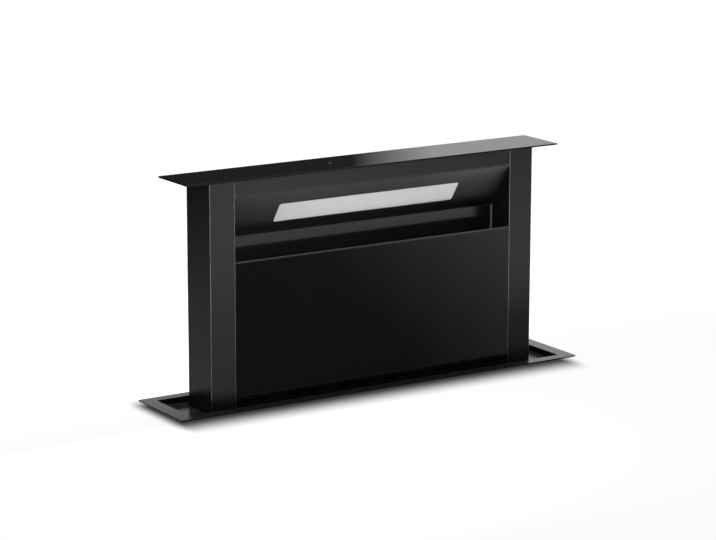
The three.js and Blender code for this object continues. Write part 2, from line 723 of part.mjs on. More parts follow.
// Circuit board that closes the light box, with a row of LEDs facing the diffuser.
function ledBoard() {
  const y = windowY;
  const z = SHEET + FIT + DIFFUSER_THICKNESS + LIGHT_BOX_DEPTH + FIT;
  const half = WINDOW_LENGTH / 2 + DIFFUSER_LIP;
  const tall = WINDOW_HEIGHT / 2 + DIFFUSER_LIP;
  const board = block(-half, half, y - tall, y + tall, z, z + BOARD_THICKNESS);
  const pitch = (WINDOW_LENGTH - 2 * WINDOW_CORNER) / LED_COUNT;
  const leds = Array.from({ length: LED_COUNT }, (_, i) => {
    const x = (i - (LED_COUNT - 1) / 2) * pitch;
    return block(
      x - LED_SIZE / 2, x + LED_SIZE / 2, y - LED_SIZE / 2, y + LED_SIZE / 2,
      z - LED_HEIGHT, z + BOARD_THICKNESS / 2);
  });
  return join([board, ...leds]);
}

// Lid of dark glass on a steel carrier, with the touch board in an aperture under the glass.
function lidGlass() {
  const outline = roundedRectangle(
    lidLength - 2 * LID_BEVEL, lidDepth - 2 * LID_BEVEL, LID_CORNER - LID_BEVEL);
  const glass = new THREE.ExtrudeGeometry(outline, {
    depth: LID_THICKNESS - 2 * LID_BEVEL,
    bevelThickness: LID_BEVEL,
    bevelSize: LID_BEVEL,
    bevelSegments: 1,
    curveSegments: NEAT_CORNER / 2,
  });
  return solid(glass.translate(0, 0, lidUnder + LID_BEVEL));
}

function lidCarrier() {
  const outline = roundedRectangle(
    lidLength - 2 * LID_CARRIER_INSET, lidDepth - 2 * LID_CARRIER_INSET, LID_CORNER);
  const aperture = block(
    TOUCH_X - TOUCH_LENGTH / 2, TOUCH_X + TOUCH_LENGTH / 2,
    -TOUCH_WIDTH / 2, TOUCH_WIDTH / 2, headTop - PAST, lidUnder + PAST);
  return prismZ(outline, headTop, lidUnder).subtract(aperture);
}

function touchBoard() {
  return block(
    TOUCH_X - TOUCH_LENGTH / 2 + FIT, TOUCH_X + TOUCH_LENGTH / 2 - FIT,
    -TOUCH_WIDTH / 2 + FIT, TOUCH_WIDTH / 2 - FIT, headTop + FIT / 2, lidUnder - FIT / 2);
}

// ---------- Front panel, its rails and the grease filters ----------

const studX = postInner - FIT - RAIL_THICKNESS - SOCKET_SIZE / 2;
const studHeights = [glassFoot + STUD_EDGE, glassTop - STUD_EDGE];
const betweenRails = postInner - FIT - RAIL_THICKNESS - FIT;

function frontGlass() {
  const half = postInner - GLASS_SIDE_GAP;
  return block(-half, half, front, glassBack, glassFoot, glassTop);
}

function frontGlassCarrier() {
  const half = postInner - GLASS_SIDE_GAP - GLASS_INSET;
  const plate = block(
    -half, half, glassBack, carrierBack, glassFoot + GLASS_INSET, glassTop - GLASS_INSET);
  const studs = studHeights.flatMap((z) => [-studX, studX].map((x) => rodY(
    STUD_RADIUS, x, z, carrierBack - SHEET / 2, carrierBack + STUD_LENGTH)));
  return join([plate, ...studs]);
}

// Plastic rail on the post's inner face, with a socket for each stud of the front panel.
function sideRail() {
  const face = postInner - FIT;
  const y0 = carrierBack + FIT;
  const strip = block(
    face - RAIL_THICKNESS, face, y0, y0 + RAIL_WIDTH,
    glassFoot + GLASS_INSET, glassTop - GLASS_INSET);
  const sockets = studHeights.map((z) => {
    const boss = block(
      face - RAIL_THICKNESS - SOCKET_SIZE, face - RAIL_THICKNESS / 2,
      y0, y0 + RAIL_WIDTH, z - SOCKET_HEIGHT / 2, z + SOCKET_HEIGHT / 2);
    return boss.subtract(rodY(STUD_RADIUS + FIT, studX, z, y0 - PAST, y0 + RAIL_WIDTH + PAST));
  });
  return join([strip, ...sockets]);
}

// Channel that the filters stand in.
const ledgeFront = carrierBack + 2 * FIT;
const filterSeat = FILTER_FOOT;
const filterFront = ledgeFront + SHEET + FIT;
// the filters lean from the ledge to the duct's back wall
const filterTilt = Math.asin(
  (ductBack - FILTER_HEAD_GAP - filterFront) / Math.hypot(FILTER_THICKNESS, FILTER_HEIGHT))
  - Math.atan2(FILTER_THICKNESS, FILTER_HEIGHT);

function filterLedge() {
  const floor = filterSeat - FIT - SHEET;
  const section = sheetSection([
    [ledgeFront + LEDGE_DEPTH, floor + LEDGE_LIP / 2], [ledgeFront + LEDGE_DEPTH, floor],
    [ledgeFront, floor], [ledgeFront, floor + LEDGE_LIP],
  ].reverse());
  return prismX(section, -betweenRails, betweenRails);
}

// Filters in their own frame: x along, y through the thickness, z up the filter.
const filterLength = betweenRails - FIT / 2;
const filterInnerX = FIT / 2;

function filterFrame() {
  const body = block(filterInnerX, filterLength, 0, FILTER_THICKNESS, 0, FILTER_HEIGHT);
  const cavity = block(
    filterInnerX + FILTER_SKIN, filterLength - FILTER_SKIN,
    FILTER_SKIN, FILTER_THICKNESS - FILTER_SKIN, FILTER_SKIN, FILTER_HEIGHT - FILTER_SKIN);
  const opening = block(
    filterInnerX + FILTER_BORDER, filterLength - FILTER_BORDER,
    -PAST, FILTER_THICKNESS + PAST, FILTER_BORDER, FILTER_HEIGHT - FILTER_BORDER);
  return body.subtract(cavity).subtract(opening);
}

// Pleated aluminium mesh held inside the frame.
function filterMesh() {
  const y0 = FILTER_SKIN + FIT;
  const y1 = FILTER_THICKNESS - FILTER_SKIN - FIT - PLEAT_SHEET;
  const z0 = FILTER_SKIN + FIT;
  const pitch = (FILTER_HEIGHT - 2 * z0) / PLEAT_COUNT;
  const face = [];
  for (let i = 0; i <= PLEAT_COUNT; i += 1) {
    face.push(new THREE.Vector2(i % 2 ? y1 : y0, z0 + i * pitch));
  }
  const rear = face.map((point) => new THREE.Vector2(point.x + PLEAT_SHEET, point.y)).reverse();
  const section = new THREE.Shape([...face, ...rear]);
  return prismX(
    section, filterInnerX + FILTER_SKIN + FIT, filterLength - FILTER_SKIN - FIT);
}

// ---------- Blower ----------

const HALVINGS = 40;               // steps of the search for the tongue

// Radius of the scroll's airway once it has turned so far back from the top of the outlet.
function scrollRadius(turn) {
  return scrollMax - SCROLL_GROWTH * turn / scrollTurn;
}

// Scroll outline about the fan's axis, grown outwards, with its outlet reaching towards -x.
function scrollOutline(grow, reach) {
  const lip = tongueZ - grow;
  const heightAt = (turn) => (scrollRadius(turn) + grow) * Math.sin(Math.PI / 2 - turn);
  let low = 1.5 * Math.PI;
  let high = 2 * Math.PI;
  for (let i = 0; i < HALVINGS; i += 1) {
    const middle = (low + high) / 2;
    if (heightAt(middle) < lip) low = middle;
    else high = middle;
  }
  const points = [new THREE.Vector2(-reach, scrollMax + grow)];
  for (let i = 0; i <= SCROLL_STEPS; i += 1) {
    const turn = high * i / SCROLL_STEPS;
    const radius = scrollRadius(turn) + grow;
    const angle = Math.PI / 2 - turn;
    points.push(new THREE.Vector2(radius * Math.cos(angle), radius * Math.sin(angle)));
  }
  points.push(new THREE.Vector2(-reach, lip));
  return new THREE.Shape(points);
}

// One half of the scroll: an end plate, half of the wall and half of the split flange.
function voluteHalf(plateY, splitY, hole) {
  const inward = Math.sign(splitY - plateY);
  const prism = (shape, a, b) => prismY(shape, Math.min(a, b), Math.max(a, b));
  const airway = scrollOutline(0, OUTLET_REACH + PAST);
  const shell = prism(scrollOutline(SCROLL_WALL, OUTLET_REACH), plateY, splitY);
  const flangeOutline = scrollOutline(SCROLL_WALL + SPLIT_FLANGE, OUTLET_REACH - SPLIT_FLANGE);
  const flange = prism(flangeOutline, splitY - inward * SPLIT_FLANGE_THICKNESS, splitY);
  const hollow = prism(airway, plateY + inward * SCROLL_WALL, splitY + inward * PAST);
  return shell.add(flange).subtract(hollow).subtract(hole);
}

function voluteFrontHalf() {
  const hole = rodY(INLET_RADIUS, 0, 0, voluteFront - PAST, fanFront, LARGE_ROUND);
  const mouth = rodY(
    INLET_RADIUS + SCROLL_WALL, 0, 0, voluteFront, airwayFront + INLET_LIP / 2, LARGE_ROUND)
    .subtract(hole);
  return voluteHalf(voluteFront, voluteSplit, hole).add(mouth);
}

function voluteBackHalf() {
  const hole = rodY(HUB_RADIUS + HUB_CLEARANCE, 0, 0, fanBack, voluteBack + PAST);
  return voluteHalf(voluteBack, voluteSplit, hole);
}

// Forward-curved wheel: blades between a back plate and a front ring, with its hub and shaft.
function impeller() {
  const rootRadius = FAN_RADIUS - BLADE_DEPTH;
  const half = BLADE_THICKNESS / 2;
  const side = (sign) => Array.from({ length: BLADE_STEPS + 1 }, (_, i) => {
    const share = i / BLADE_STEPS;
    const radius = rootRadius + BLADE_DEPTH * share - BLADE_SETBACK;
    const angle = BLADE_SWEEP * share * share + sign * half / radius;
    return new THREE.Vector2(radius * Math.cos(angle), radius * Math.sin(angle));
  });
  const outline = new THREE.Shape([...side(-1), ...side(1).reverse()]);
  const blade = prismY(outline, fanFront + BLADE_SEAT, fanBack - BLADE_SEAT);
  const blades = Array.from(
    { length: BLADE_COUNT }, (_, i) => blade.rotate([0, i * 360 / BLADE_COUNT, 0]));
  const plate = rodY(FAN_RADIUS, 0, 0, fanBack - FAN_PLATE, fanBack, WHEEL_ROUND);
  const eye = rodY(rootRadius - PAST, 0, 0, fanFront - PAST, fanFront + 2 * FAN_PLATE, WHEEL_ROUND);
  const ring = rodY(FAN_RADIUS, 0, 0, fanFront, fanFront + FAN_PLATE, WHEEL_ROUND).subtract(eye);
  const hub = rodY(HUB_RADIUS, 0, 0, fanBack - FAN_WIDTH / 3, fanBack + FAN_CLEARANCE / 2);
  const shaft = rodY(SHAFT_RADIUS, 0, 0, fanBack, voluteBack + FIT + SHAFT_LENGTH);
  return join([plate, ring, hub, shaft, ...blades]);
}

function fanMotor() {
  const face = voluteBack + FIT;
  const rear = face + FAN_MOTOR_LENGTH;
  const shoulder = rear - FAN_CAP_HEIGHT;
  const flange = rodY(
    FAN_MOTOR_RADIUS + FAN_MOTOR_FLANGE, 0, 0, face, face + FAN_MOTOR_PLATE, MOTOR_ROUND);
  const can = rodY(FAN_MOTOR_RADIUS - RIB_DEPTH, 0, 0, face, shoulder, MOTOR_ROUND);
  const cap = rodY(
    FAN_MOTOR_RADIUS - FAN_CAP_INSET, 0, 0, shoulder - PAST, rear, MOTOR_ROUND);
  const rib = block(
    0, FAN_MOTOR_RADIUS, face, rear - RIB_SETBACK, -RIB_THICKNESS / 2, RIB_THICKNESS / 2);
  const ribs = Array.from({ length: RIB_COUNT }, (_, i) => rib.rotate([0, i * 360 / RIB_COUNT, 0]));
  const bore = rodY(SHAFT_RADIUS + FIT, 0, 0, face - PAST, face + SHAFT_LENGTH + FIT);
  return join([flange, can, cap, ...ribs]).subtract(bore);
}

// ---------- Duct spigot and backdraught flaps ----------

// A tube through rings of points; each ring has as many points inside as outside.
function loftTube(rings) {
  const count = rings[0].outer.length;
  const vertices = rings.flatMap(({ outer, inner }) => [...outer, ...inner]);
  const index = [];
  const quad = (a, b, c, d) => index.push(a, c, b, a, d, c);
  const at = (ring, inside, i) => ring * 2 * count + (inside ? count : 0) + i % count;
  for (let i = 0; i < count; i += 1) {
    for (let r = 0; r < rings.length - 1; r += 1) {
      quad(at(r, false, i), at(r, false, i + 1), at(r + 1, false, i + 1), at(r + 1, false, i));
      quad(at(r, true, i + 1), at(r, true, i), at(r + 1, true, i), at(r + 1, true, i + 1));
    }
    const last = rings.length - 1;
    quad(at(0, true, i), at(0, true, i + 1), at(0, false, i + 1), at(0, false, i));
    quad(at(last, false, i), at(last, false, i + 1), at(last, true, i + 1), at(last, true, i));
  }
  const geometry = new THREE.BufferGeometry();
  geometry.setAttribute('position', new THREE.Float32BufferAttribute(vertices.flat(), 3));
  geometry.setIndex(index);
  return solid(geometry);
}

// Rectangle-to-round adaptor with a flange at the blower and a beaded spigot for the duct.
function ductCollar() {
  const start = outletX - FIT;
  const airwayY = (airwayFront + airwayBack) / 2;
  const halfY = (airwayBack - airwayFront) / 2;
  const halfZ = (scrollMax - tongueZ) / 2;
  const angles = Array.from({ length: SPIGOT_STEPS }, (_, i) => 2 * Math.PI * i / SPIGOT_STEPS);
  const rectangle = (x, wall) => angles.map((a) => {
    const longest = Math.max(Math.abs(Math.cos(a)), Math.abs(Math.sin(a)));
    return [
      x, airwayY + (halfY + wall) * Math.cos(a) / longest,
      spigotZ + (halfZ + wall) * Math.sin(a) / longest,
    ];
  });
  const round = (x, radius) => angles.map(
    (a) => [x, spigotY + radius * Math.cos(a), spigotZ + radius * Math.sin(a)]);
  const squareRing = (x, wall) => ({ outer: rectangle(x, wall), inner: rectangle(x, 0) });
  const roundRing = (x, grow) => ({
    outer: round(x, SPIGOT_RADIUS + grow), inner: round(x, SPIGOT_RADIUS - SPIGOT_WALL),
  });
  const mouth = spigotStart - SPIGOT_LENGTH;
  const plate = start - SPIGOT_FLANGE_THICKNESS;
  return join([
    loftTube([squareRing(start, SPIGOT_WALL), squareRing(plate, SPIGOT_WALL)]),
    loftTube([squareRing(plate, SPIGOT_WALL), roundRing(spigotStart, 0)]),
    loftTube([
      roundRing(spigotStart, 0), roundRing(mouth + BEAD_START + BEAD_WIDTH, 0),
      roundRing(mouth + BEAD_START + BEAD_WIDTH / 2, SPIGOT_BEAD),
      roundRing(mouth + BEAD_START, 0), roundRing(mouth, 0),
    ]),
    loftTube([squareRing(start, SPIGOT_FLANGE), squareRing(plate, SPIGOT_FLANGE)])
      .intersect(block(plate - PAST, start + PAST, voluteFront, spigotY + SPIGOT_RADIUS,
        spigotZ - 2 * halfZ, spigotZ + 2 * halfZ)),
  ]);
}

function damperPin() {
  const reach = SPIGOT_RADIUS - SPIGOT_WALL - FIT;
  return rodZ(PIN_RADIUS, hingeX, spigotY, spigotZ - reach, spigotZ + reach, PIN_ROUND);
}

// Half-moon flap on the pin, towards the back or the front, with knuckles at the given heights.
function damperFlap(side, knuckles) {
  const radius = SPIGOT_RADIUS - SPIGOT_WALL - FLAP_GAP;
  const half = FLAP_THICKNESS / 2;
  const slab = (reach0, reach1, low, high) => block(
    hingeX - half, hingeX + half,
    Math.min(spigotY + side * reach0, spigotY + side * reach1),
    Math.max(spigotY + side * reach0, spigotY + side * reach1),
    spigotZ + low * radius, spigotZ + high * radius);
  const disc = rodX(radius, spigotY, spigotZ, hingeX - half, hingeX + half, LARGE_ROUND);
  const leaf = disc.intersect(slab(KNUCKLE_RADIUS + FIT, radius + PAST, -1, 1));
  const hinges = knuckles.map(([low, high]) => {
    const barrel = rodZ(
      KNUCKLE_RADIUS, hingeX, spigotY, spigotZ + low * radius, spigotZ + high * radius, NEAT_CORNER);
    return barrel.add(slab(0, KNUCKLE_RADIUS + KNUCKLE_TAB, low, high));
  });
  const bore = rodZ(
    PIN_RADIUS + FIT, hingeX, spigotY, spigotZ - radius - PAST, spigotZ + radius + PAST, PIN_ROUND);
  return join([leaf, ...hinges]).subtract(bore);
}

// ---------- Control box ----------

const boxBack = casingBack + FIT + BOX_DEPTH;
const boxZ = -BOX_DROP - BOX_HEIGHT / 2;
const glandX = boxX + BOX_LENGTH / 4;
const glandY = casingBack + FIT + BOX_DEPTH / 2;
const glandTop = boxZ - BOX_HEIGHT / 2 - FIT;

function controlBox() {
  const outer = roundedRectangle(BOX_LENGTH, BOX_HEIGHT, BOX_CORNER, boxX, boxZ);
  const inner = roundedRectangle(
    BOX_LENGTH - 2 * BOX_WALL, BOX_HEIGHT - 2 * BOX_WALL, BOX_CORNER - BOX_WALL, boxX, boxZ);
  const hollow = prismY(inner, casingBack + FIT + BOX_WALL, boxBack + PAST);
  const cableHole = rodZ(GLAND_BORE, glandX, glandY, glandTop, glandTop + 2 * BOX_WALL);
  return prismY(outer, casingBack + FIT, boxBack).subtract(hollow).subtract(cableHole);
}

// Lid with a step that drops inside the box's walls.
function controlBoxLid() {
  const plate = prismY(
    roundedRectangle(BOX_LENGTH, BOX_HEIGHT, BOX_CORNER, boxX, boxZ), boxBack, boxBack + BOX_WALL);
  const step = roundedRectangle(
    BOX_LENGTH - 2 * BOX_WALL - 2 * FIT, BOX_HEIGHT - 2 * BOX_WALL - 2 * FIT,
    BOX_CORNER - BOX_WALL, boxX, boxZ);
  return plate.add(prismY(step, boxBack - BOX_WALL, boxBack + BOX_WALL / 2));
}

function cableGland() {
  const foot = glandTop - GLAND_LENGTH;
  return turned([
    [GLAND_BORE, glandTop], [GLAND_BORE, foot], [GLAND_NOSE, foot],
    [GLAND_RADIUS, glandTop - GLAND_LENGTH / 2], [GLAND_RADIUS, glandTop - GLAND_FLANGE],
    [GLAND_RADIUS + GLAND_FLANGE / 2, glandTop - GLAND_FLANGE],
    [GLAND_RADIUS + GLAND_FLANGE / 2, glandTop], [GLAND_BORE, glandTop],
  ], glandX, glandY);
}

// ---------- Assembly ----------

function buildChassis() {
  const chassis = new THREE.Group();
  add(chassis, 'worktop_frame', worktopFrame(), blackSteel);
  add(chassis, 'frame_gasket', frameGasket(), rubber);
  add(chassis, 'column_wiper', columnWiper(), rubber);
  add(chassis, 'casing_front', casingWall(), zincSteel);
  add(chassis, 'casing_back', casingBackWall(), zincSteel);
  addPair(chassis, 'casing_end', casingEndWall, zincSteel);
  add(chassis, 'casing_pan', casingPan(), zincSteel);
  addPair(chassis, 'floor_rail', foot, zincSteel);
  addPair(chassis, 'lift_foot', liftFoot, castAlloy);
  addPair(chassis, 'upper_bracket', upperBracket, castAlloy);
  addPair(chassis, 'guide_rod', guideRod, brightSteel);
  add(chassis, 'lift_gearbox', liftGearbox(), blackPlastic);
  add(chassis, 'lift_motor', liftMotor(), zincSteel);
  add(chassis, 'limit_switch_upper', limitSwitch(carriageTop - SWITCH_HEIGHT / 2), blackPlastic);
  add(chassis, 'limit_switch_lower',
    limitSwitch(carriageUnder - RISE + SWITCH_HEIGHT / 2), blackPlastic);
  add(chassis, 'control_box', controlBox(), greyPlastic);
  add(chassis, 'control_box_lid', controlBoxLid(), greyPlastic);
  add(chassis, 'cable_gland', cableGland(), blackPlastic);
  add(chassis, 'duct_collar', ductCollar(), blackPlastic);
  add(chassis, 'damper_pin', damperPin(), brightSteel);

  const blower = new THREE.Group();
  blower.position.set(fanX, 0, fanZ);
  add(blower, 'volute_front', voluteFrontHalf(), blackPlastic);
  add(blower, 'volute_back', voluteBackHalf(), blackPlastic);
  add(blower, 'fan_motor', fanMotor(), zincSteel);
  add(blower, 'impeller', impeller(), greyPlastic);
  chassis.add(blower);

  add(chassis, 'damper_flap_front', damperFlap(-1, FRONT_KNUCKLES), greyPlastic);
  add(chassis, 'damper_flap_rear', damperFlap(1, REAR_KNUCKLES), greyPlastic);
  addPair(chassis, 'lift_screw', liftScrew, brightSteel);
  add(chassis, 'cross_shaft', crossShaft(), brightSteel);
  return chassis;
}

function buildTower() {
  const tower = new THREE.Group();
  addPair(tower, 'post', post, blackSteel);
  add(tower, 'head_beam', headBeam(), blackSteel);
  add(tower, 'tower_back', towerBack(), blackSteel);
  add(tower, 'duct_back', ductBackWall(), blackSteel);
  add(tower, 'lower_front', lowerFront(), blackSteel);
  add(tower, 'tower_base', towerBase(), zincSteel);
  add(tower, 'lid_glass', lidGlass(), blackGlass);
  add(tower, 'lid_carrier', lidCarrier(), blackSteel);
  add(tower, 'touch_board', touchBoard(), circuitBoard);
  addPair(tower, 'side_rail', sideRail, blackPlastic);
  add(tower, 'filter_ledge', filterLedge(), zincSteel);
  addPair(tower, 'carriage', carriage, blackPlastic);
  addPair(tower, 'lift_nut', liftNut, bronze);

  const slanted = new THREE.Group();
  slanted.position.set(0, front, slantTop);
  slanted.rotation.x = slantTilt;
  add(slanted, 'light_panel', lightPanel(), blackSteel);
  add(slanted, 'light_diffuser', lightDiffuser(), frosted);
  add(slanted, 'led_board', ledBoard(), circuitBoard);
  tower.add(slanted);

  const filters = new THREE.Group();
  // the tilt lowers the filters' rear edge, which is what stands on the ledge
  const rise = FILTER_THICKNESS * Math.sin(filterTilt);
  filters.position.set(0, filterFront, filterSeat + rise);
  filters.rotation.x = -filterTilt;
  addPair(filters, 'filter_frame', filterFrame, aluminium);
  addPair(filters, 'filter_mesh', filterMesh, aluminium);
  tower.add(filters);
  return tower;
}

function buildFrontPanel() {
  const panel = new THREE.Group();
  add(panel, 'front_glass', frontGlass(), blackGlass);
  add(panel, 'front_glass_carrier', frontGlassCarrier(), blackSteel);
  return panel;
}

const vent = new THREE.Group();
vent.add(buildChassis(), buildTower(), buildFrontPanel());

// The origin goes to the middle of the base that the vent stands on.
const bounds = new THREE.Box3().setFromObject(vent, true);
const middle = bounds.getCenter(new THREE.Vector3());
vent.position.set(-middle.x, -middle.y, -bounds.min.z);

export default vent;
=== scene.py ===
import json
import math
import bmesh
import bpy
from mathutils import Matrix, Vector


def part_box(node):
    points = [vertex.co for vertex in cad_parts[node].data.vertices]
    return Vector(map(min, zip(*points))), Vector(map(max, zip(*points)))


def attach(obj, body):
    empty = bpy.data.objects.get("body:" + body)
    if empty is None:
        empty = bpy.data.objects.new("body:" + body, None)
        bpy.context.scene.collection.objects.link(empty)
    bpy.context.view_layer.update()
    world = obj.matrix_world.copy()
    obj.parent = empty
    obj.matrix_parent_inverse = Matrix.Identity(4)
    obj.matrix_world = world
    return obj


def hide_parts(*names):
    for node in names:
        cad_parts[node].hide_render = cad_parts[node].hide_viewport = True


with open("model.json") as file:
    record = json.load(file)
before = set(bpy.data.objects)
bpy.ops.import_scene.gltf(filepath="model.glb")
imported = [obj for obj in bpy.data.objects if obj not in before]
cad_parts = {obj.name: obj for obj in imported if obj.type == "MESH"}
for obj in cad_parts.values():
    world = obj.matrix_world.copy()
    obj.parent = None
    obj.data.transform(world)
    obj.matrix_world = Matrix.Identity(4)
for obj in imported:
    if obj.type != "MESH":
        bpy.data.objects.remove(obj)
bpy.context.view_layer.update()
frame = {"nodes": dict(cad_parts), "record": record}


# ---------------------------------------------------------------------------------------------
# The camera. It stands to the left of the vent and a little above its lid, with a long lens,
# and looks along the lines that the photograph's edges give.
CAMERA_EYE = Vector((-2.7737, -4.3684, 1.9701))
CAMERA_AZIMUTH = math.radians(-32.691)
CAMERA_ELEVATION = math.radians(12.689)
CAMERA_ROLL = math.radians(0.108)
FOCAL_LENGTH, SENSOR_WIDTH = 137.35, 36      # millimetres
NEAREST_SEEN, FARTHEST_SEEN = 0.05, 200

camera = bpy.data.objects.new("camera", bpy.data.cameras.new("camera"))
camera.data.lens = FOCAL_LENGTH
camera.data.sensor_width = SENSOR_WIDTH
camera.data.clip_start = NEAREST_SEEN
camera.data.clip_end = FARTHEST_SEEN
towards_camera = Vector((
    math.sin(CAMERA_AZIMUTH) * math.cos(CAMERA_ELEVATION),
    -math.cos(CAMERA_AZIMUTH) * math.cos(CAMERA_ELEVATION),
    math.sin(CAMERA_ELEVATION),
))
aim = (-towards_camera).to_track_quat("-Z", "Y").to_matrix().to_4x4()
camera.matrix_world = Matrix.Translation(CAMERA_EYE) @ aim @ Matrix.Rotation(CAMERA_ROLL, 4, "Z")
bpy.context.scene.collection.objects.link(camera)
bpy.context.scene.camera = camera
bpy.context.scene.view_settings.view_transform = "Standard"


# ---------------------------------------------------------------------------------------------
# The studio: a white floor, a slab of white worktop that the vent's frame lies on, with a painted
# shadow round the frame, soft lamps above, in front and behind, and shaded cards that only the
# polished surfaces see.
class Signal:
    """A socket of a node tree, so that what is worked out from it reads as a plain expression."""

    def __init__(self, recipe, socket):
        self.recipe, self.socket = recipe, socket

    def _math(self, operation, *values):
        return self.recipe.add("Math", {"operation": operation}, dict(enumerate(values)))

    def __add__(self, other):
        return self._math("ADD", self, other)

    def __radd__(self, other):
        return self._math("ADD", other, self)

    def __sub__(self, other):
        return self._math("SUBTRACT", self, other)

    def __rsub__(self, other):
        return self._math("SUBTRACT", other, self)

    def __neg__(self):
        return 0.0 - self

    def __mul__(self, other):
        return self._math("MULTIPLY", self, other)

    def __rmul__(self, other):
        return self._math("MULTIPLY", other, self)

    def __truediv__(self, other):
        return self._math("DIVIDE", self, other)

    def __pow__(self, other):
        return self._math("POWER", self, other)

    def at_least(self, other):
        return self._math("MAXIMUM", self, other)

    def at_most(self, other):
        return self._math("MINIMUM", self, other)

    def size(self):
        return self._math("ABSOLUTE", self)

    def wave(self):
        return self._math("SINE", self)

    def rise(self, start, end):
        """0 up to start, 1 from end on, and even in between."""
        return ((self - start) / (end - start)).at_least(0.0).at_most(1.0)


class Recipe:
    """The node tree of a material or of the world."""

    def __init__(self, owner):
        owner.use_nodes = True
        self.owner = owner
        self.tree = owner.node_tree
        self.output = next(n for n in self.tree.nodes if n.type.startswith("OUTPUT"))
        self.shader = next((n for n in self.tree.nodes if n.type == "BSDF_PRINCIPLED"), None)

    def put(self, socket, value):
        if isinstance(value, Signal):
            self.tree.links.new(value.socket, socket)
        else:
            socket.default_value = value

    def add(self, kind, settings=None, values=None, result=0):
        node = self.tree.nodes.new("ShaderNode" + kind)
        for name, setting in (settings or {}).items():
            setattr(node, name, setting)
        for socket, value in (values or {}).items():
            self.put(node.inputs[socket], value)
        if isinstance(result, tuple):
            return [Signal(self, node.outputs[name]) for name in result]
        return Signal(self, node.outputs[result])

    def blend(self, share, low, high):
        return self.add("Mix", {"data_type": "RGBA"}, {0: share, 6: low, 7: high}, result=2)

    def greys(self, share, low, high, warmth=1.0):
        """From one grey to another; a warmth under 1 leans to blue."""
        return self.blend(
            share, (low * warmth, low, low / warmth, 1), (high * warmth, high, high / warmth, 1))

    def place(self):
        return self.add("TexCoord", result="Object")

    def along(self):
        return self.add("SeparateXYZ", None, {"Vector": self.place()}, ("X", "Y", "Z"))

    def noise(self, scale, detail=2.0, where=None):
        values = {"Vector": where or self.place(), "Scale": scale, "Detail": detail}
        return self.add("TexNoise", None, values)

    def stretched(self, x, y, z):
        return self.add("VectorMath", {"operation": "MULTIPLY"}, {0: self.place(), 1: (x, y, z)})

    def bump(self, height, distance, strength=1.0):
        values = {"Height": height, "Distance": distance, "Strength": strength}
        return self.add("Bump", None, values)

    def paint(self, **values):
        for name, value in values.items():
            self.put(self.shader.inputs[name.replace("_", " ")], value)
        return self.owner


def new_recipe(name):
    return Recipe(bpy.data.materials.new(name))


def place_mesh(name, vertices, faces, material):
    mesh = bpy.data.meshes.new(name)
    mesh.from_pydata(vertices, [], faces)
    mesh.materials.append(material)
    piece = bpy.data.objects.new(name, mesh)
    bpy.context.scene.collection.objects.link(piece)
    return piece


def lying(left, right, front, back, z):
    """The corners of a level rectangle."""
    return [(left, front, z), (right, front, z), (right, back, z), (left, back, z)]


def standing(left, right, y, low, top):
    """The corners of an upright rectangle, parallel to the vent's front."""
    return [(left, y, low), (right, y, low), (right, y, top), (left, y, top)]


SEEN_RAYS = ("Is Camera Ray", "Is Glossy Ray", "Is Transmission Ray")
FLOOR_GLOW = 0.95
WORKTOP_GLOW = 0.92
FLOOR_GREY, WORKTOP_GREY = 0.8, 0.1
FLOOR_REACH = 60.0


def white_ground(name, shade=None):
    """White board that takes light and shadow, and glows as far as white where it is seen;
    a shade recipe, when given, paints a shadow into its colour and glow.
    """
    recipe = new_recipe(name)
    camera_ray, glossy_ray, clear_ray = recipe.add("LightPath", result=SEEN_RAYS)
    seen = camera_ray.at_least(glossy_ray).at_least(clear_ray)
    if shade:
        share = shade(recipe)
        colour, glow = recipe.greys(share, 0.0, WORKTOP_GREY), seen * WORKTOP_GLOW * share
    else:
        colour, glow = (FLOOR_GREY, FLOOR_GREY, FLOOR_GREY, 1), seen * FLOOR_GLOW
    diffuse = recipe.add("BsdfDiffuse", None, {"Color": colour})
    light = recipe.add("Emission", None, {"Strength": glow})
    both = recipe.add("AddShader", None, {0: diffuse, 1: light})
    recipe.put(recipe.output.inputs["Surface"], both)
    return recipe.owner


floor = place_mesh(
    "floor", lying(-FLOOR_REACH, FLOOR_REACH, -FLOOR_REACH, FLOOR_REACH, 0),
    [(0, 1, 2, 3)], white_ground("floor_white"))

WORKTOP_LEFT, WORKTOP_RIGHT = -1.5, 0.95
WORKTOP_FRONT = -1.45
WORKTOP_BEHIND = 0.015            # how far the slab goes on behind the frame
WORKTOP_THICKNESS = 0.012
CUTOUT_LENGTH, CUTOUT_WIDTH = 0.849, 0.136
# the dark line round the frame on the worktop is a painted shadow, shaped by these
SHADOW_REACH = 0.092              # width of the soft dark line in front of the frame
SHADOW_INSET = 0.045              # how far it starts inside the frame's right end and back
SHADOW_LEFT, SHADOW_RIGHT, SHADOW_BEHIND = 2.6, 2.3, 1.5     # times narrower than in front
SHADOW_DEEPEST = 0.05

rim_low, rim_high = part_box("worktop_frame")
worktop_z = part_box("frame_gasket")[0].z


def painted_contact_shadow(recipe):
    """A painted shadow on the worktop: how much of its white is kept, little at the frame's edge
    and all away from it.
    """
    x, y, _ = recipe.along()
    left_of = (rim_low.x - x).at_least(0.0) * SHADOW_LEFT
    right_of = (x - (rim_high.x - SHADOW_INSET)).at_least(0.0) * SHADOW_RIGHT
    behind = (y - (rim_high.y - SHADOW_INSET)).at_least(0.0) * SHADOW_BEHIND
    beside = left_of + right_of
    before = (rim_low.y - y).at_least(0.0) + behind
    away = ((beside ** 2.0 + before ** 2.0) ** 0.5).rise(0.0, SHADOW_REACH)
    return SHADOW_DEEPEST + (1 - SHADOW_DEEPEST) * away * away * (3 - 2 * away)


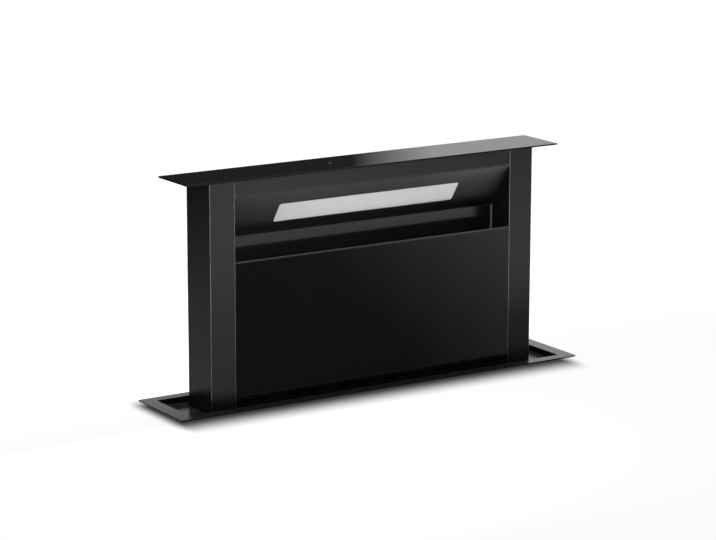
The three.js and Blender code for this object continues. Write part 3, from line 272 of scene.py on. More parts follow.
def worktop_slab():
    """A slab with a rectangular cut-out for the tray, made as rings of corners joined up."""
    middle = (rim_low + rim_high) / 2
    hole = (middle.x - CUTOUT_LENGTH / 2, middle.x + CUTOUT_LENGTH / 2,
            middle.y - CUTOUT_WIDTH / 2, middle.y + CUTOUT_WIDTH / 2)
    edge = (WORKTOP_LEFT, WORKTOP_RIGHT, WORKTOP_FRONT, rim_high.y + WORKTOP_BEHIND)
    vertices = []
    for z in (worktop_z, worktop_z - WORKTOP_THICKNESS):
        for x0, x1, y0, y1 in (edge, hole):
            vertices += [(x0, y0, z), (x1, y0, z), (x1, y1, z), (x0, y1, z)]
    faces = []
    for i in range(4):
        j = (i + 1) % 4
        faces += [(i, j, j + 4, i + 4), (i + 8, i + 12, j + 12, j + 8),
                  (i, i + 8, j + 8, j), (i + 4, j + 4, j + 12, i + 12)]
    return place_mesh("worktop", vertices, faces, white_ground("worktop_white", painted_contact_shadow))


worktop_slab()

WORLD_LIGHT = 0.08                # what the world adds to every surface; seen, it is white
world = bpy.data.worlds.new("studio")
bpy.context.scene.world = world
sky = Recipe(world)
camera_ray, glossy_ray, clear_ray = sky.add("LightPath", result=SEEN_RAYS)
background = sky.tree.nodes["Background"]
background.inputs["Color"].default_value = (1, 1, 1, 1)
sky.put(
    background.inputs["Strength"],
    WORLD_LIGHT + (1 - WORLD_LIGHT) * camera_ray.at_least(glossy_ray).at_least(clear_ray))


def softbox(name, centre, target, width, height, power, spread=180, gloss=True):
    light = bpy.data.lights.new(name, "AREA")
    light.shape = "RECTANGLE"
    light.size, light.size_y = width, height
    light.energy = power
    light.spread = math.radians(spread)
    lamp = bpy.data.objects.new(name, light)
    facing = (Vector(target) - Vector(centre)).to_track_quat("-Z", "Y").to_matrix().to_4x4()
    lamp.matrix_world = Matrix.Translation(Vector(centre)) @ facing
    bpy.context.scene.collection.objects.link(lamp)
    lamp.visible_camera = False
    lamp.visible_glossy = gloss


softbox("overhead_lamp", centre=(0.3, -0.2, 4.2), target=(0, 0, 0.9),
        width=3.0, height=3.0, power=64)
softbox("front_lamp", centre=(-0.43, -0.85, 1.12), target=(-0.4, -0.1, 0.9),
        width=0.3, height=0.3, power=6.2, gloss=False)
softbox("slot_lamp", centre=(0.24, -0.3, worktop_z + 0.02), target=(0.24, -0.1, 0.97),
        width=0.9, height=0.12, power=0.82, spread=75)
softbox("back_lamp", centre=(-0.2, 2.8, 1.3), target=(0, 0, 0.6),
        width=1.5, height=1.5, power=60, gloss=False)

# a low black board along the whole worktop keeps the front lamp's light off the vent's foot
FLAG_LEFT, FLAG_RIGHT, FLAG_Y = -1.4, 0.9, -0.165
FLAG_LOW, FLAG_TOP = worktop_z + 0.004, worktop_z + 0.058
flag = place_mesh(
    "studio_flag", standing(FLAG_LEFT, FLAG_RIGHT, FLAG_Y, FLAG_LOW, FLAG_TOP),
    [(0, 1, 2, 3)], new_recipe("flag_black").paint(Base_Color=(0, 0, 0, 1)))
flag.visible_camera = flag.visible_glossy = flag.visible_transmission = False


def shaded_card(name, corners, shade):
    """A card beside the set that only polished surfaces see, as dark as the recipe says."""
    recipe = new_recipe(name)
    glow = recipe.add("Emission", None, {"Color": shade(recipe)})
    recipe.put(recipe.output.inputs["Surface"], glow)
    card = place_mesh(name, corners, [(0, 1, 2, 3)], recipe.owner)
    card.visible_camera = card.visible_diffuse = card.visible_shadow = False
    card.visible_transmission = card.visible_volume_scatter = False


# behind: it ends in line with the lid's middle, so that the lid goes from dark to light
BEHIND_LEFT, BEHIND_RIGHT, BEHIND_Y = -2.6, 3.4, 1.9
BEHIND_LOW, BEHIND_HIGH = worktop_z + 0.62, worktop_z + 3.2
BEHIND_DARK, BEHIND_LIGHT = 1.23, 1.5        # dark up to the first x, light from the second
shaded_card(
    "card_behind", standing(BEHIND_LEFT, BEHIND_RIGHT, BEHIND_Y, BEHIND_LOW, BEHIND_HIGH),
    lambda recipe: recipe.greys(recipe.along()[0].rise(BEHIND_DARK, BEHIND_LIGHT), 0.036, 0.78))

# in front, low over the worktop: the upright fronts see it, lighter towards the right
FRONT_LEFT, FRONT_RIGHT = -0.9, 1.7
FRONT_FAR, FRONT_NEAR = -1.28, -0.155
FRONT_LEAN = 0.37                 # how far the shade turns with the distance from the vent
FRONT_DIM_END, FRONT_FAR_END = 1.15, 1.2    # it turns bright between these, for the duct's wall


def front_shade(recipe):
    x, y, _ = recipe.along()
    reach = x + FRONT_LEAN * y
    dim = reach.rise(0.06, 0.5) ** 1.3 + reach.rise(0.5, 0.85)
    far = (-y).rise(FRONT_DIM_END, FRONT_FAR_END)
    return recipe.greys(dim * 0.09 + far, 0.07, 2.97)


shaded_card(
    "card_in_front", lying(FRONT_LEFT, FRONT_RIGHT, FRONT_FAR, FRONT_NEAR, worktop_z + 0.005),
    front_shade)

# upright at the far end of that one: what the frame's front rim mirrors into the glass
UPRIGHT_REACH, UPRIGHT_TOP = 2.4, 1.4
shaded_card(
    "card_upright",
    standing(-UPRIGHT_REACH, UPRIGHT_REACH, WORKTOP_FRONT, worktop_z + 0.01, UPRIGHT_TOP),
    lambda recipe: recipe.greys(recipe.along()[0].rise(0.1, 0.6), 0.3, 0.03))

# to the left: the posts' sides see it, darker towards the top
LEFT_FAR, LEFT_NEAR, LEFT_Y = -4.0, -0.25, 0.6
LEFT_LOW, LEFT_TOP = -0.3, 2.6
shaded_card(
    "card_left", standing(LEFT_FAR, LEFT_NEAR, LEFT_Y, LEFT_LOW, LEFT_TOP),
    lambda recipe: recipe.greys(recipe.along()[2].rise(0.5, 0.95), 0.3, 0.0))


# ---------------------------------------------------------------------------------------------
# The worktop frame: a flanged rim with a pressed tray, one piece of steel with a smooth black
# coat. Its edges are broken by about half a millimetre, and rub a little brighter with use.
record = frame["record"]
body_of_node = {
    node: body for body, nodes in record["behaviour"]["bodies"].items() for node in nodes}


def coated_steel(name, roughness, tone, level, ripple=0.00005):
    """Black coat on sheet steel: a fine ripple, and gloss and tone that drift a little."""
    recipe = new_recipe(name)
    recipe.shader.inputs["Specular IOR Level"].default_value = level
    cloud = recipe.noise(6.0, 3.0)
    ripples = recipe.noise(420.0, 2.0) * 0.7 + recipe.noise(2600.0, 1.0) * 0.3
    return recipe.paint(
        Base_Color=recipe.greys(cloud, tone * 0.88, tone * 1.12, 0.985),
        Roughness=roughness * (0.85 + cloud * 0.3),
        Normal=recipe.bump(ripples, ripple, 0.35),
    )


def edge_wear_and_highlight(name, tone, roughness, metal=0.0):
    """Lighter patches along an edge: wear where a coat or a skin is rubbed, and on the tower's
    folds and head a painted highlight line.
    """
    recipe = new_recipe(name)
    patches = recipe.noise(38.0, 4.0).rise(0.3, 0.7)
    return recipe.paint(
        Base_Color=recipe.greys(patches, tone * 0.75, tone * 1.25),
        Roughness=roughness * (1.15 - patches * 0.3),
        Metallic=metal,
    )


SAME_POINT = 1e-6
FLAT_TURN, SHARP_TURN = 0.5, 30   # degrees: one face under the first, an edge over the second
FOLD_START, FOLD_END = 0.15, 0.7  # how far sideways the facets of a fold face
STANDS = 0.9                      # a face that looks up or down by less than this is upright
OUTER_EDGE = 0.01                 # nearer the outline than this is the rim's outer edge


def eased(node, material, width, edge=None, segments=2, folds=False):
    """A copy of a node with its sharp edges broken, which is shown in the node's place.
    With folds, the facets of its rounded upright corners take the edge material as well, which
    on the posts is a painted highlight."""
    mesh = frame["nodes"][node].data.copy()
    mesh.name = node + "_eased"
    mesh.materials.clear()
    mesh.materials.append(material)
    mesh.materials.append(edge or material)
    work = bmesh.new()
    work.from_mesh(mesh)
    bmesh.ops.remove_doubles(work, verts=work.verts, dist=SAME_POINT)
    bmesh.ops.dissolve_limit(
        work, angle_limit=math.radians(FLAT_TURN), verts=work.verts, edges=work.edges)
    bmesh.ops.recalc_face_normals(work, faces=work.faces)
    for face in work.faces:
        face.smooth = True
        face.material_index = int(folds and FOLD_START < abs(face.normal.x) < FOLD_END)
    work.to_mesh(mesh)
    work.free()
    piece = bpy.data.objects.new(node + "_eased", mesh)
    bpy.context.scene.collection.objects.link(piece)
    bevel = piece.modifiers.new("edges", "BEVEL")
    bevel.width = width
    bevel.segments = segments
    bevel.limit_method = "ANGLE"
    bevel.angle_limit = math.radians(SHARP_TURN)
    bevel.material = 1
    flats = piece.modifiers.new("flats", "WEIGHTED_NORMAL")
    flats.weight = 50
    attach(piece, body_of_node[node])
    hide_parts(node)
    return piece


def worktop_frame():
    """The frame as packed; the tray's walls are painted darker and duller, as painted shade in the
    recess.
    """
    rim_coat = coated_steel("rim_coat", 0.22, 0.024, 0.5, ripple=0.00001)
    frame_edge = edge_wear_and_highlight("frame_edge", 0.03, 0.2)
    piece = eased("worktop_frame", rim_coat, 0.0005, frame_edge)
    piece.data.materials.append(coated_steel("tray_wall_painted_shade", 0.6, 0.002, 0.05))
    for face in piece.data.polygons:
        inside = (rim_low.x + OUTER_EDGE < face.center.x < rim_high.x - OUTER_EDGE
                  and rim_low.y + OUTER_EDGE < face.center.y < rim_high.y - OUTER_EDGE)
        if inside and abs(face.normal.z) < STANDS:
            face.material_index = 2


worktop_frame()


# ---------------------------------------------------------------------------------------------
# Gasket and wiper: black foam tape under the rim and a rubber lip under the tray. The foam is
# cut from strip and glued on; the lip is pressed against the tower all round.
def finish_node(node, material):
    """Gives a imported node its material."""
    slots = frame["nodes"][node].data.materials
    slots.clear()
    slots.append(material)


def rubber(name, pore_scale, depth):
    recipe = new_recipe(name)
    pores = recipe.noise(pore_scale, 4.0)
    return recipe.paint(
        Base_Color=recipe.greys(pores, 0.008, 0.022),
        Roughness=0.72 + pores * 0.22,
        Normal=recipe.bump(pores, depth, 0.6),
    )


finish_node("frame_gasket", rubber("foam_tape", 1400.0, 0.0003))
eased("column_wiper", rubber("lip_rubber", 2600.0, 0.00008), 0.0005)


# ---------------------------------------------------------------------------------------------
# The casing under the worktop: folded galvanised sheets, screwed together at the corners with
# small pan-head screws, and the two rails that it stands on.
def galvanised():
    recipe = new_recipe("galvanised_sheet")
    flake = recipe.add(
        "TexVoronoi", None, {"Vector": recipe.place(), "Scale": 130.0}, result="Color")
    flake_tone = recipe.add("SeparateColor", None, {"Color": flake})
    cloud = recipe.noise(5.0, 4.0)
    rolled = recipe.noise(60.0, 2.0, recipe.stretched(1.0, 1.0, 0.04))
    tone = flake_tone * 0.45 + cloud * 0.35 + rolled * 0.2
    return recipe.paint(
        Base_Color=recipe.greys(tone, 0.4, 0.7, 0.985),
        Roughness=0.3 + flake_tone * 0.14 + cloud * 0.08,
        Metallic=1.0,
        Normal=recipe.bump(flake_tone * 0.6 + rolled * 0.4, 0.00003, 0.4),
    )


zinc_sheet = galvanised()
zinc_edge = edge_wear_and_highlight("cut_zinc_edge", 0.62, 0.3, metal=1.0)
SHEET_EDGE = 0.0004
for node in ("casing_front", "casing_back", "casing_end_left", "casing_end_right", "casing_pan",
             "floor_rail_left", "floor_rail_right"):
    eased(node, zinc_sheet, SHEET_EDGE, zinc_edge)


def bright_metal(name, low, high, roughness, lay=(1.0, 1.0, 1.0), warmth=0.99):
    """Bare metal with fine machining or drawing lines; the lay stretches them."""
    recipe = new_recipe(name)
    lines = recipe.noise(700.0, 2.0, recipe.stretched(*lay))
    stain = recipe.noise(14.0, 3.0)
    return recipe.paint(
        Base_Color=recipe.greys(lines * 0.6 + stain * 0.4, low, high, warmth),
        Roughness=roughness + lines * 0.07 + stain * 0.05,
        Metallic=1.0,
        Normal=recipe.bump(lines, 0.00001, 0.3),
    )


screw_zinc = bright_metal("screw_zinc", 0.5, 0.7, 0.22)
HEAD_SIDES = 12
HEAD_TWIST = 2.4                  # no two screws stop at the same angle


def smooth_round(piece, sharp_turn):
    """Smooth shading round a turned piece, with its corners over sharp_turn degrees kept."""
    for face in piece.data.polygons:
        face.use_smooth = len(face.vertices) == 4
    piece.data.set_sharp_from_angle(angle=math.radians(sharp_turn))


def pan_heads(name, places, radius):
    """Screw heads with a hexagon socket. Each place is the head's seat and its outward axis."""
    height, depth = radius * 0.75, radius * 0.45
    hexagon = [1.0 if i % 2 else math.cos(math.pi / 6) for i in range(HEAD_SIDES)]
    round_ring = [1.0] * HEAD_SIDES
    rings = [(round_ring, radius, 0.0), (round_ring, radius, height * 0.45),
             (round_ring, radius * 0.9, height * 0.8), (round_ring, radius * 0.68, height),
             (hexagon, radius * 0.48, height), (hexagon, radius * 0.44, height - depth)]
    vertices, faces = [], []
    for number, (seat, axis) in enumerate(places):
        turn = Vector(axis).to_track_quat("Z", "X").to_matrix()
        twist = number * HEAD_TWIST
        first = len(vertices)
        for shape, ring_radius, z in rings:
            for i, reach in enumerate(shape):
                angle = twist + 2 * math.pi * i / HEAD_SIDES
                spot = Vector((math.cos(angle), math.sin(angle), 0)) * ring_radius * reach
                vertices.append(Vector(seat) + turn @ (spot + Vector((0, 0, z))))
        for ring in range(len(rings) - 1):
            for i in range(HEAD_SIDES):
                a, b = first + ring * HEAD_SIDES, first + (ring + 1) * HEAD_SIDES
                j = (i + 1) % HEAD_SIDES
                faces.append((a + i, a + j, b + j, b + i))
        faces.append(tuple(first + i for i in reversed(range(HEAD_SIDES))))
        last = first + (len(rings) - 1) * HEAD_SIDES
        faces.append(tuple(last + i for i in range(HEAD_SIDES)))
    piece = place_mesh(name, vertices, faces, screw_zinc)
    smooth_round(piece, 40)
    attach(piece, "root")


CASING_SCREW, CASING_SCREW_INSET = 0.0034, 0.0075
CASING_SCREW_HEIGHTS = (0.09, 0.21, 0.33, 0.45, 0.575)
PAN_SCREW_PLACES = (-0.32, -0.16, 0.0, 0.16, 0.32)
PAN_SCREW_RAISE = 0.002           # over the middle of the pan's wall
end_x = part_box("casing_end_right")[1].x
corner_x = end_x - CASING_SCREW_INSET
wall_front, wall_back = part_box("casing_front")[0].y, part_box("casing_back")[1].y
casing_seats = [
    (Vector((side * corner_x, y, z)), (0, out, 0))
    for side in (-1, 1) for y, out in ((wall_front, -1), (wall_back, 1))
    for z in CASING_SCREW_HEIGHTS]
pan_low, pan_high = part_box("casing_pan")
pan_screw_z = (pan_low.z + pan_high.z) / 2 + PAN_SCREW_RAISE
casing_seats += [
    (Vector((x, y, pan_screw_z)), (0, out, 0))
    for x in PAN_SCREW_PLACES for y, out in ((pan_low.y, -1), (pan_high.y, 1))]
pan_heads("casing_screws", casing_seats, CASING_SCREW)

FLOOR_BOLT, FLOOR_BOLT_INSET = 0.0052, 0.021
FLOOR_BOLT_PLACES = (0.031, 0.159)           # from the casing's front
RAIL_THICKNESS = 0.0015
rail_low, rail_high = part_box("floor_rail_right")
bolt_x, bolt_z = rail_high.x - FLOOR_BOLT_INSET, rail_low.z + RAIL_THICKNESS
bolt_seats = [
    (Vector((side * bolt_x, wall_front + y, bolt_z)), (0, 0, 1))
    for side in (-1, 1) for y in FLOOR_BOLT_PLACES]
pan_heads("floor_bolts", bolt_seats, FLOOR_BOLT)


# ---------------------------------------------------------------------------------------------
# The lift: cast feet and upper brackets hold a ground guide rod and a threaded screw at each
# end, and a cross shaft couples the screws to the gearmotor in the middle.
def cast_alloy():
    recipe = new_recipe("cast_alloy")
    skin = recipe.noise(700.0, 4.0)
    flow = recipe.noise(22.0, 3.0)
    return recipe.paint(
        Base_Color=recipe.greys(skin * 0.6 + flow * 0.4, 0.28, 0.45),
        Roughness=0.46 + skin * 0.2,
        Metallic=1.0,
        Normal=recipe.bump(skin, 0.0001, 0.5),
    )


def moulded(name, tone, grain=1300.0, roughness=0.5, depth=0.00008):
    """Moulded plastic with a spark-eroded grain and faint flow marks."""
    recipe = new_recipe(name)
    skin = recipe.noise(grain, 3.0)
    flow = recipe.noise(9.0, 3.0)
    return recipe.paint(
        Base_Color=recipe.greys(flow * 0.7 + skin * 0.3, tone * 0.84, tone * 1.2),
        Roughness=roughness + skin * 0.14 - flow * 0.05,
        Normal=recipe.bump(skin, depth, 0.5),
    )


alloy = cast_alloy()
alloy_edge = edge_wear_and_highlight("fettled_edge", 0.5, 0.32, metal=1.0)
black_moulded = moulded("black_moulding", 0.02)
black_moulded_edge = edge_wear_and_highlight("black_moulding_edge", 0.035, 0.38)
grey_moulded = moulded("grey_moulding", 0.2, roughness=0.46)
grey_moulded_edge = edge_wear_and_highlight("grey_moulding_edge", 0.26, 0.36)
ground_rod = bright_metal("ground_rod", 0.62, 0.74, 0.12, lay=(1.0, 1.0, 0.02))


def turned_bronze():
    recipe = new_recipe("turned_bronze")
    rings = recipe.noise(900.0, 1.0, recipe.stretched(0.02, 0.02, 1.0))
    stain = recipe.noise(30.0, 3.0)
    return recipe.paint(
        Base_Color=recipe.blend(
            rings * 0.5 + stain * 0.5, (0.42, 0.26, 0.11, 1), (0.58, 0.39, 0.18, 1)),
        Roughness=0.24 + rings * 0.12,
        Metallic=1.0,
        Normal=recipe.bump(rings, 0.00003, 0.4),
    )


nut_bronze = turned_bronze()

THREAD_STARTS = 4
THREAD_PITCH = 0.004              # four starts at 4 mm lead the tower 16 mm in a turn
THREAD_DEPTH = 0.0011
THREAD_SIDES = 24
THREAD_STEP = 0.0005
THREAD_FOOT, THREAD_HEAD = 0.018, 0.0103     # the plain ends below and above it


def threaded_screw(side):
    """Trapezoidal thread between two plain journals, drawn round the node's own axis."""
    low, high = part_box("lift_screw_" + side)
    axis_x, axis_y = (low.x + high.x) / 2, (low.y + high.y) / 2
    crest = (high.x - low.x) / 2
    journal = crest * 2 / 3
    foot, head = low.z + THREAD_FOOT, high.z - THREAD_HEAD
    steps = int((head - foot) / THREAD_STEP)
    levels = [(low.z, journal, False), (foot, journal, False), (foot, crest - THREAD_DEPTH, False)]
    levels += [(foot + (head - foot) * i / steps, crest, True) for i in range(1, steps)]
    levels += [(head, crest - THREAD_DEPTH, False), (head, journal, False),
               (high.z, journal, False)]
    vertices = []
    for z, radius, threaded in levels:
        for i in range(THREAD_SIDES):
            turn = i / THREAD_SIDES
            reach = radius
            if threaded:
                along = (z / THREAD_PITCH - turn * THREAD_STARTS) % 1.0
                flank = min(max(abs(along - 0.5) * 6 - 1, 0.0), 1.0)
                reach = radius - THREAD_DEPTH * flank
            angle = 2 * math.pi * turn
            vertices.append((axis_x + reach * math.cos(angle), axis_y + reach * math.sin(angle), z))
    faces = [tuple(reversed(range(THREAD_SIDES)))]
    for level in range(len(levels) - 1):
        for i in range(THREAD_SIDES):
            a, b, j = level * THREAD_SIDES, (level + 1) * THREAD_SIDES, (i + 1) % THREAD_SIDES
            faces.append((a + i, a + j, b + j, b + i))
    last = (len(levels) - 1) * THREAD_SIDES
    faces.append(tuple(last + i for i in range(THREAD_SIDES)))
    piece = place_mesh("threaded_screw_" + side, vertices, faces, rolled_thread)
    smooth_round(piece, 50)
    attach(piece, body_of_node["lift_screw_" + side])
    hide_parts("lift_screw_" + side)


rolled_thread = bright_metal("rolled_thread", 0.42, 0.62, 0.24)
for side in ("left", "right"):
    for node in ("lift_foot_", "upper_bracket_"):
        eased(node + side, alloy, 0.0008, alloy_edge)
    eased("guide_rod_" + side, ground_rod, 0.0006)
    threaded_screw(side)
    eased("carriage_" + side, black_moulded, 0.0008, black_moulded_edge)
    eased("lift_nut_" + side, nut_bronze, 0.0004)
eased("cross_shaft", bright_metal("drawn_shaft", 0.5, 0.66, 0.2, lay=(0.02, 1.0, 1.0)), 0.0006)
eased("lift_gearbox", black_moulded, 0.0008, black_moulded_edge)

motor_zinc = bright_metal("motor_zinc", 0.5, 0.68, 0.26, lay=(1.0, 0.1, 0.1))
eased("lift_motor", motor_zinc, 0.0006, zinc_edge)
for end in ("upper", "lower"):
    eased("limit_switch_" + end, moulded("switch_body_" + end, 0.03, roughness=0.42), 0.0004)

GEARBOX_SCREW, GEARBOX_SCREW_INSET = 0.0026, 0.006
gear_low, gear_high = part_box("lift_gearbox")
gear_seats = [
    (Vector((x, y, gear_high.z)), (0, 0, 1))
    for x in (gear_low.x + GEARBOX_SCREW_INSET, gear_high.x - GEARBOX_SCREW_INSET)
    for y in (gear_low.y + GEARBOX_SCREW_INSET, gear_high.y - GEARBOX_SCREW_INSET)]
pan_heads("gearbox_screws", gear_seats, GEARBOX_SCREW)

BRACKET_SCREW, BRACKET_SCREW_INSET = 0.0034, 0.012
FOOT_SCREW_RAISE = 0.03           # over the foot's underside
bracket_low, bracket_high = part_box("upper_bracket_right")
foot_screw_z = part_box("lift_foot_right")[0].z + FOOT_SCREW_RAISE
bracket_seats = [
    (Vector((side * end_x, y, z)), (side, 0, 0))
    for side in (-1, 1)
    for y in (bracket_low.y + BRACKET_SCREW_INSET, bracket_high.y - BRACKET_SCREW_INSET)
    for z in ((bracket_low.z + bracket_high.z) / 2, foot_screw_z)]
pan_heads("bracket_screws", bracket_seats, BRACKET_SCREW)


# ---------------------------------------------------------------------------------------------
# The blower: a scroll moulded in two halves that are screwed together round their flange, a
# forward-curved wheel, and a motor with cooling ribs on the back half.
scroll_skin = moulded("scroll_moulding", 0.022, grain=900.0, roughness=0.46)
for node in ("volute_front", "volute_back"):
    eased(node, scroll_skin, 0.0006, black_moulded_edge)
eased("impeller", moulded("wheel_moulding", 0.16, roughness=0.4), 0.0003, grey_moulded_edge)
eased("fan_motor", bright_metal("motor_casting", 0.4, 0.6, 0.34), 0.0005, alloy_edge)

SCROLL_FLANGE = 0.003
SCROLL_SCREW, SCROLL_SCREW_INSET = 0.0024, 0.0029
SCROLL_SCREW_ANGLES = (-75, -40, -5, 30, 65, -110, -145)
SAME_HEADING = 8                  # degrees
impeller_low, impeller_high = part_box("impeller")
fan_axis = (impeller_low + impeller_high) / 2
flange_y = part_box("volute_back")[0].y + SCROLL_FLANGE


def flange_edge(angle):
    """Where a screw sits in the scroll's flange, in a direction from the fan's axis."""
    heading = Vector((math.cos(angle), 0, math.sin(angle)))
    reach = 0.0
    for vertex in frame["nodes"]["volute_back"].data.vertices:
        arm = vertex.co - fan_axis
        arm.y = 0
        if arm.length and arm.angle(heading) < math.radians(SAME_HEADING):
            reach = max(reach, arm.length)
    return fan_axis + heading * (reach - SCROLL_SCREW_INSET)


scroll_seats = []
for angle in SCROLL_SCREW_ANGLES:
    seat = flange_edge(math.radians(angle))
    scroll_seats.append((Vector((seat.x, flange_y, seat.z)), (0, 1, 0)))
pan_heads("scroll_screws", scroll_seats, SCROLL_SCREW)

MOTOR_FLANGE = 0.003
MOTOR_SCREW, MOTOR_SCREW_INSET = 0.0026, 0.0042
MOTOR_SCREW_ANGLES = (11.25, 101.25, 191.25, 281.25)
motor_low, motor_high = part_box("fan_motor")
screw_circle = (motor_high.x - motor_low.x) / 2 - MOTOR_SCREW_INSET
motor_seats = [
    (Vector((fan_axis.x + screw_circle * math.cos(math.radians(angle)), motor_low.y + MOTOR_FLANGE,
             fan_axis.z + screw_circle * math.sin(math.radians(angle)))), (0, 1, 0))
    for angle in MOTOR_SCREW_ANGLES]
pan_heads("motor_screws", motor_seats, MOTOR_SCREW)


# ---------------------------------------------------------------------------------------------
# The duct collar: a moulded adaptor from the scroll's mouth to a round beaded spigot, with two
# half-moon flaps on a steel pin that the air pushes open.
eased("duct_collar", scroll_skin, 0.0005, black_moulded_edge)
eased("damper_pin", bright_metal("damper_pin_steel", 0.55, 0.7, 0.16), 0.0003)
flap_skin = moulded("flap_moulding", 0.17, grain=1700.0, roughness=0.42)
for node in ("damper_flap_front", "damper_flap_rear"):
    eased(node, flap_skin, 0.0003, grey_moulded_edge)


# ---------------------------------------------------------------------------------------------
# The control box on the casing's back: a moulded tray and lid with a screw in each corner, and
# the gland that grips the supply cable.
eased("control_box", grey_moulded, 0.0006, grey_moulded_edge)
eased("control_box_lid", grey_moulded, 0.0006, grey_moulded_edge)
eased("cable_gland", black_moulded, 0.0005, black_moulded_edge)

box_low, box_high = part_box("control_box_lid")
BOX_SCREW, BOX_SCREW_INSET = 0.003, 0.009
box_seats = [
    (Vector((x, box_high.y, z)), (0, 1, 0))
    for x in (box_low.x + BOX_SCREW_INSET, box_high.x - BOX_SCREW_INSET)
    for z in (box_low.z + BOX_SCREW_INSET, box_high.z - BOX_SCREW_INSET)]
pan_heads("box_screws", box_seats, BOX_SCREW)


# ---------------------------------------------------------------------------------------------
# The tower's folded steel: two posts, the head between them, the slanted panel behind the slot
# and the walls of the duct, joined and coated black. The coat is satin outside; it is painted
# darker as shade in the duct, on the slanted panel, on the low front sheet and on the posts' outer
# sides, which are also glossier. The folds and the head's edge show as fine lines of painted
# highlight.
TOWER_TONE = 0.03
tower_coat = coated_steel("tower_coat", 0.4, TOWER_TONE, 0.14)
# these darker coats are painted shade: the foot and low sheet, the duct, the slot's panel, the
# posts' sides
foot_coat_painted_shade = coated_steel("foot_coat_painted_shade", 0.5, 0.006, 0.1)
duct_coat_painted_shade = coated_steel("duct_coat_painted_shade", 0.24, 0.006, 0.9)
panel_coat_painted_shade = coated_steel("panel_coat_painted_shade", 0.3, 0.006, 0.9)
side_coat_painted_shade = coated_steel("side_coat_painted_shade", 0.27, 0.008, 0.45, ripple=0.00001)
# the folds' lighter edge is a painted highlight line
fold_painted_highlight = edge_wear_and_highlight("fold_painted_highlight", 0.16, 0.3)
tower_edge = edge_wear_and_highlight("tower_edge", 0.05, 0.32)


SIDEWAYS = 0.95                   # a face that looks sideways by more than this
DUCT_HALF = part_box("post_right")[0].x
DUCT_FACE_REACH = 0.001


def post(side):
    """A post as packed. Its face towards the duct is painted darker as shade, and its outer side
    face is glossier and painted darker as shade."""
    piece = eased("post_" + side, tower_coat, 0.0004, fold_painted_highlight, folds=True)
    piece.data.materials.append(foot_coat_painted_shade)
    piece.data.materials.append(side_coat_painted_shade)
    for face in piece.data.polygons:
        if abs(face.normal.x) > SIDEWAYS:
            in_duct = abs(face.center.x) < DUCT_HALF + DUCT_FACE_REACH
            face.material_index = 2 if in_duct else 3


for side in ("left", "right"):
    post(side)
eased("duct_back", duct_coat_painted_shade, 0.0004, tower_edge)
eased("light_panel", panel_coat_painted_shade, 0.0004, tower_edge)
# the head's lighter edge is a painted highlight line
eased("head_beam", tower_coat, 0.0006, edge_wear_and_highlight("head_painted_highlight", 0.1, 0.3))
eased("tower_back", tower_coat, 0.0004, tower_edge)
eased("lower_front", foot_coat_painted_shade, 0.0004)
for node in ("tower_base", "filter_ledge"):
    eased(node, zinc_sheet, SHEET_EDGE, zinc_edge)

BEAD_LEG = 0.0028
BEAD_STEPS = 5
BEAD_FOOT_GAP, BEAD_TOP_GAP = 0.002, 0.0005  # to the filters' frame and the wall's top edge


def corner_beads():
    """The bead of sealant down each upright corner of the duct, smoothed hollow with a finger.
    Its light grey is a painted highlight line.
    """
    recipe = new_recipe("bead_painted_highlight")
    drag = recipe.noise(260.0, 2.0, recipe.stretched(1.0, 1.0, 0.1))
    sealant = recipe.paint(
        Base_Color=recipe.greys(drag, 0.09, 0.15), Roughness=0.35 + drag * 0.15,
        Normal=recipe.bump(drag, 0.0001, 0.5))
    wall_low, wall_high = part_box("duct_back")
    levels = (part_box("filter_frame_right")[1].z + BEAD_FOOT_GAP, wall_high.z - BEAD_TOP_GAP)
    vertices, faces = [], []
    for side in (-1, 1):
        first = len(vertices)
        outline = [(DUCT_HALF, wall_low.y)]
        for i in range(BEAD_STEPS + 1):
            angle = math.pi / 2 * i / BEAD_STEPS
            outline.append((DUCT_HALF - BEAD_LEG * (1 - math.sin(angle)),
                            wall_low.y - BEAD_LEG * (1 - math.cos(angle))))
        for z in levels:
            vertices += [(side * x, y, z) for x, y in outline]
        count = len(outline)
        for i in range(count):
            j = (i + 1) % count
            faces.append((first + i, first + j, first + j + count, first + i + count)[::side])
        faces += [tuple(first + i for i in range(count))[::-side],
                  tuple(first + count + i for i in range(count))[::side]]
    piece = place_mesh("corner_beads", vertices, faces, sealant)
    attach(piece, body_of_node["duct_back"])


corner_beads()


# ---------------------------------------------------------------------------------------------
# The grease filters: frames of folded aluminium strip with a pleated mesh of expanded foil.
# They stand in a zinc channel, between two plastic rails that also hold the front panel.
foil_frame = bright_metal("foil_frame", 0.62, 0.76, 0.3, lay=(0.05, 1.0, 1.0))
foil_edge = edge_wear_and_highlight("foil_edge", 0.72, 0.25, metal=1.0)


FOIL_WAVES = 1600.0               # radians of the strands' wave in a metre


def expanded_foil():
    """Slit and stretched foil: rows of small lozenge holes, dark between bright strands."""
    recipe = new_recipe("expanded_foil")
    x, _, z = recipe.along()
    strand_one = ((x + z) * FOIL_WAVES).wave().size()
    strand_two = ((x - z) * FOIL_WAVES).wave().size()
    hole = strand_one.at_most(strand_two).rise(0.3, 0.55)
    stain = recipe.noise(25.0, 3.0)
    return recipe.paint(
        Base_Color=recipe.greys(hole, 0.72, 0.03),
        Roughness=0.3 + hole * 0.5 + stain * 0.1,
        Metallic=1.0 - hole * 0.8,
        Normal=recipe.bump(1.0 - hole, 0.0004, 0.8),
    )


foil_mesh = expanded_foil()
for side in ("left", "right"):
    eased("filter_frame_" + side, foil_frame, 0.0004, foil_edge)
    finish_node("filter_mesh_" + side, foil_mesh)
    eased("side_rail_" + side, black_moulded, 0.0004, black_moulded_edge)


# ---------------------------------------------------------------------------------------------
# The lamp: a frosted plate let into the slanted panel, and a board with a row of LEDs behind
# it. The plate glows softly and evenly from edge to edge.
LAMP_GLOW = 0.155


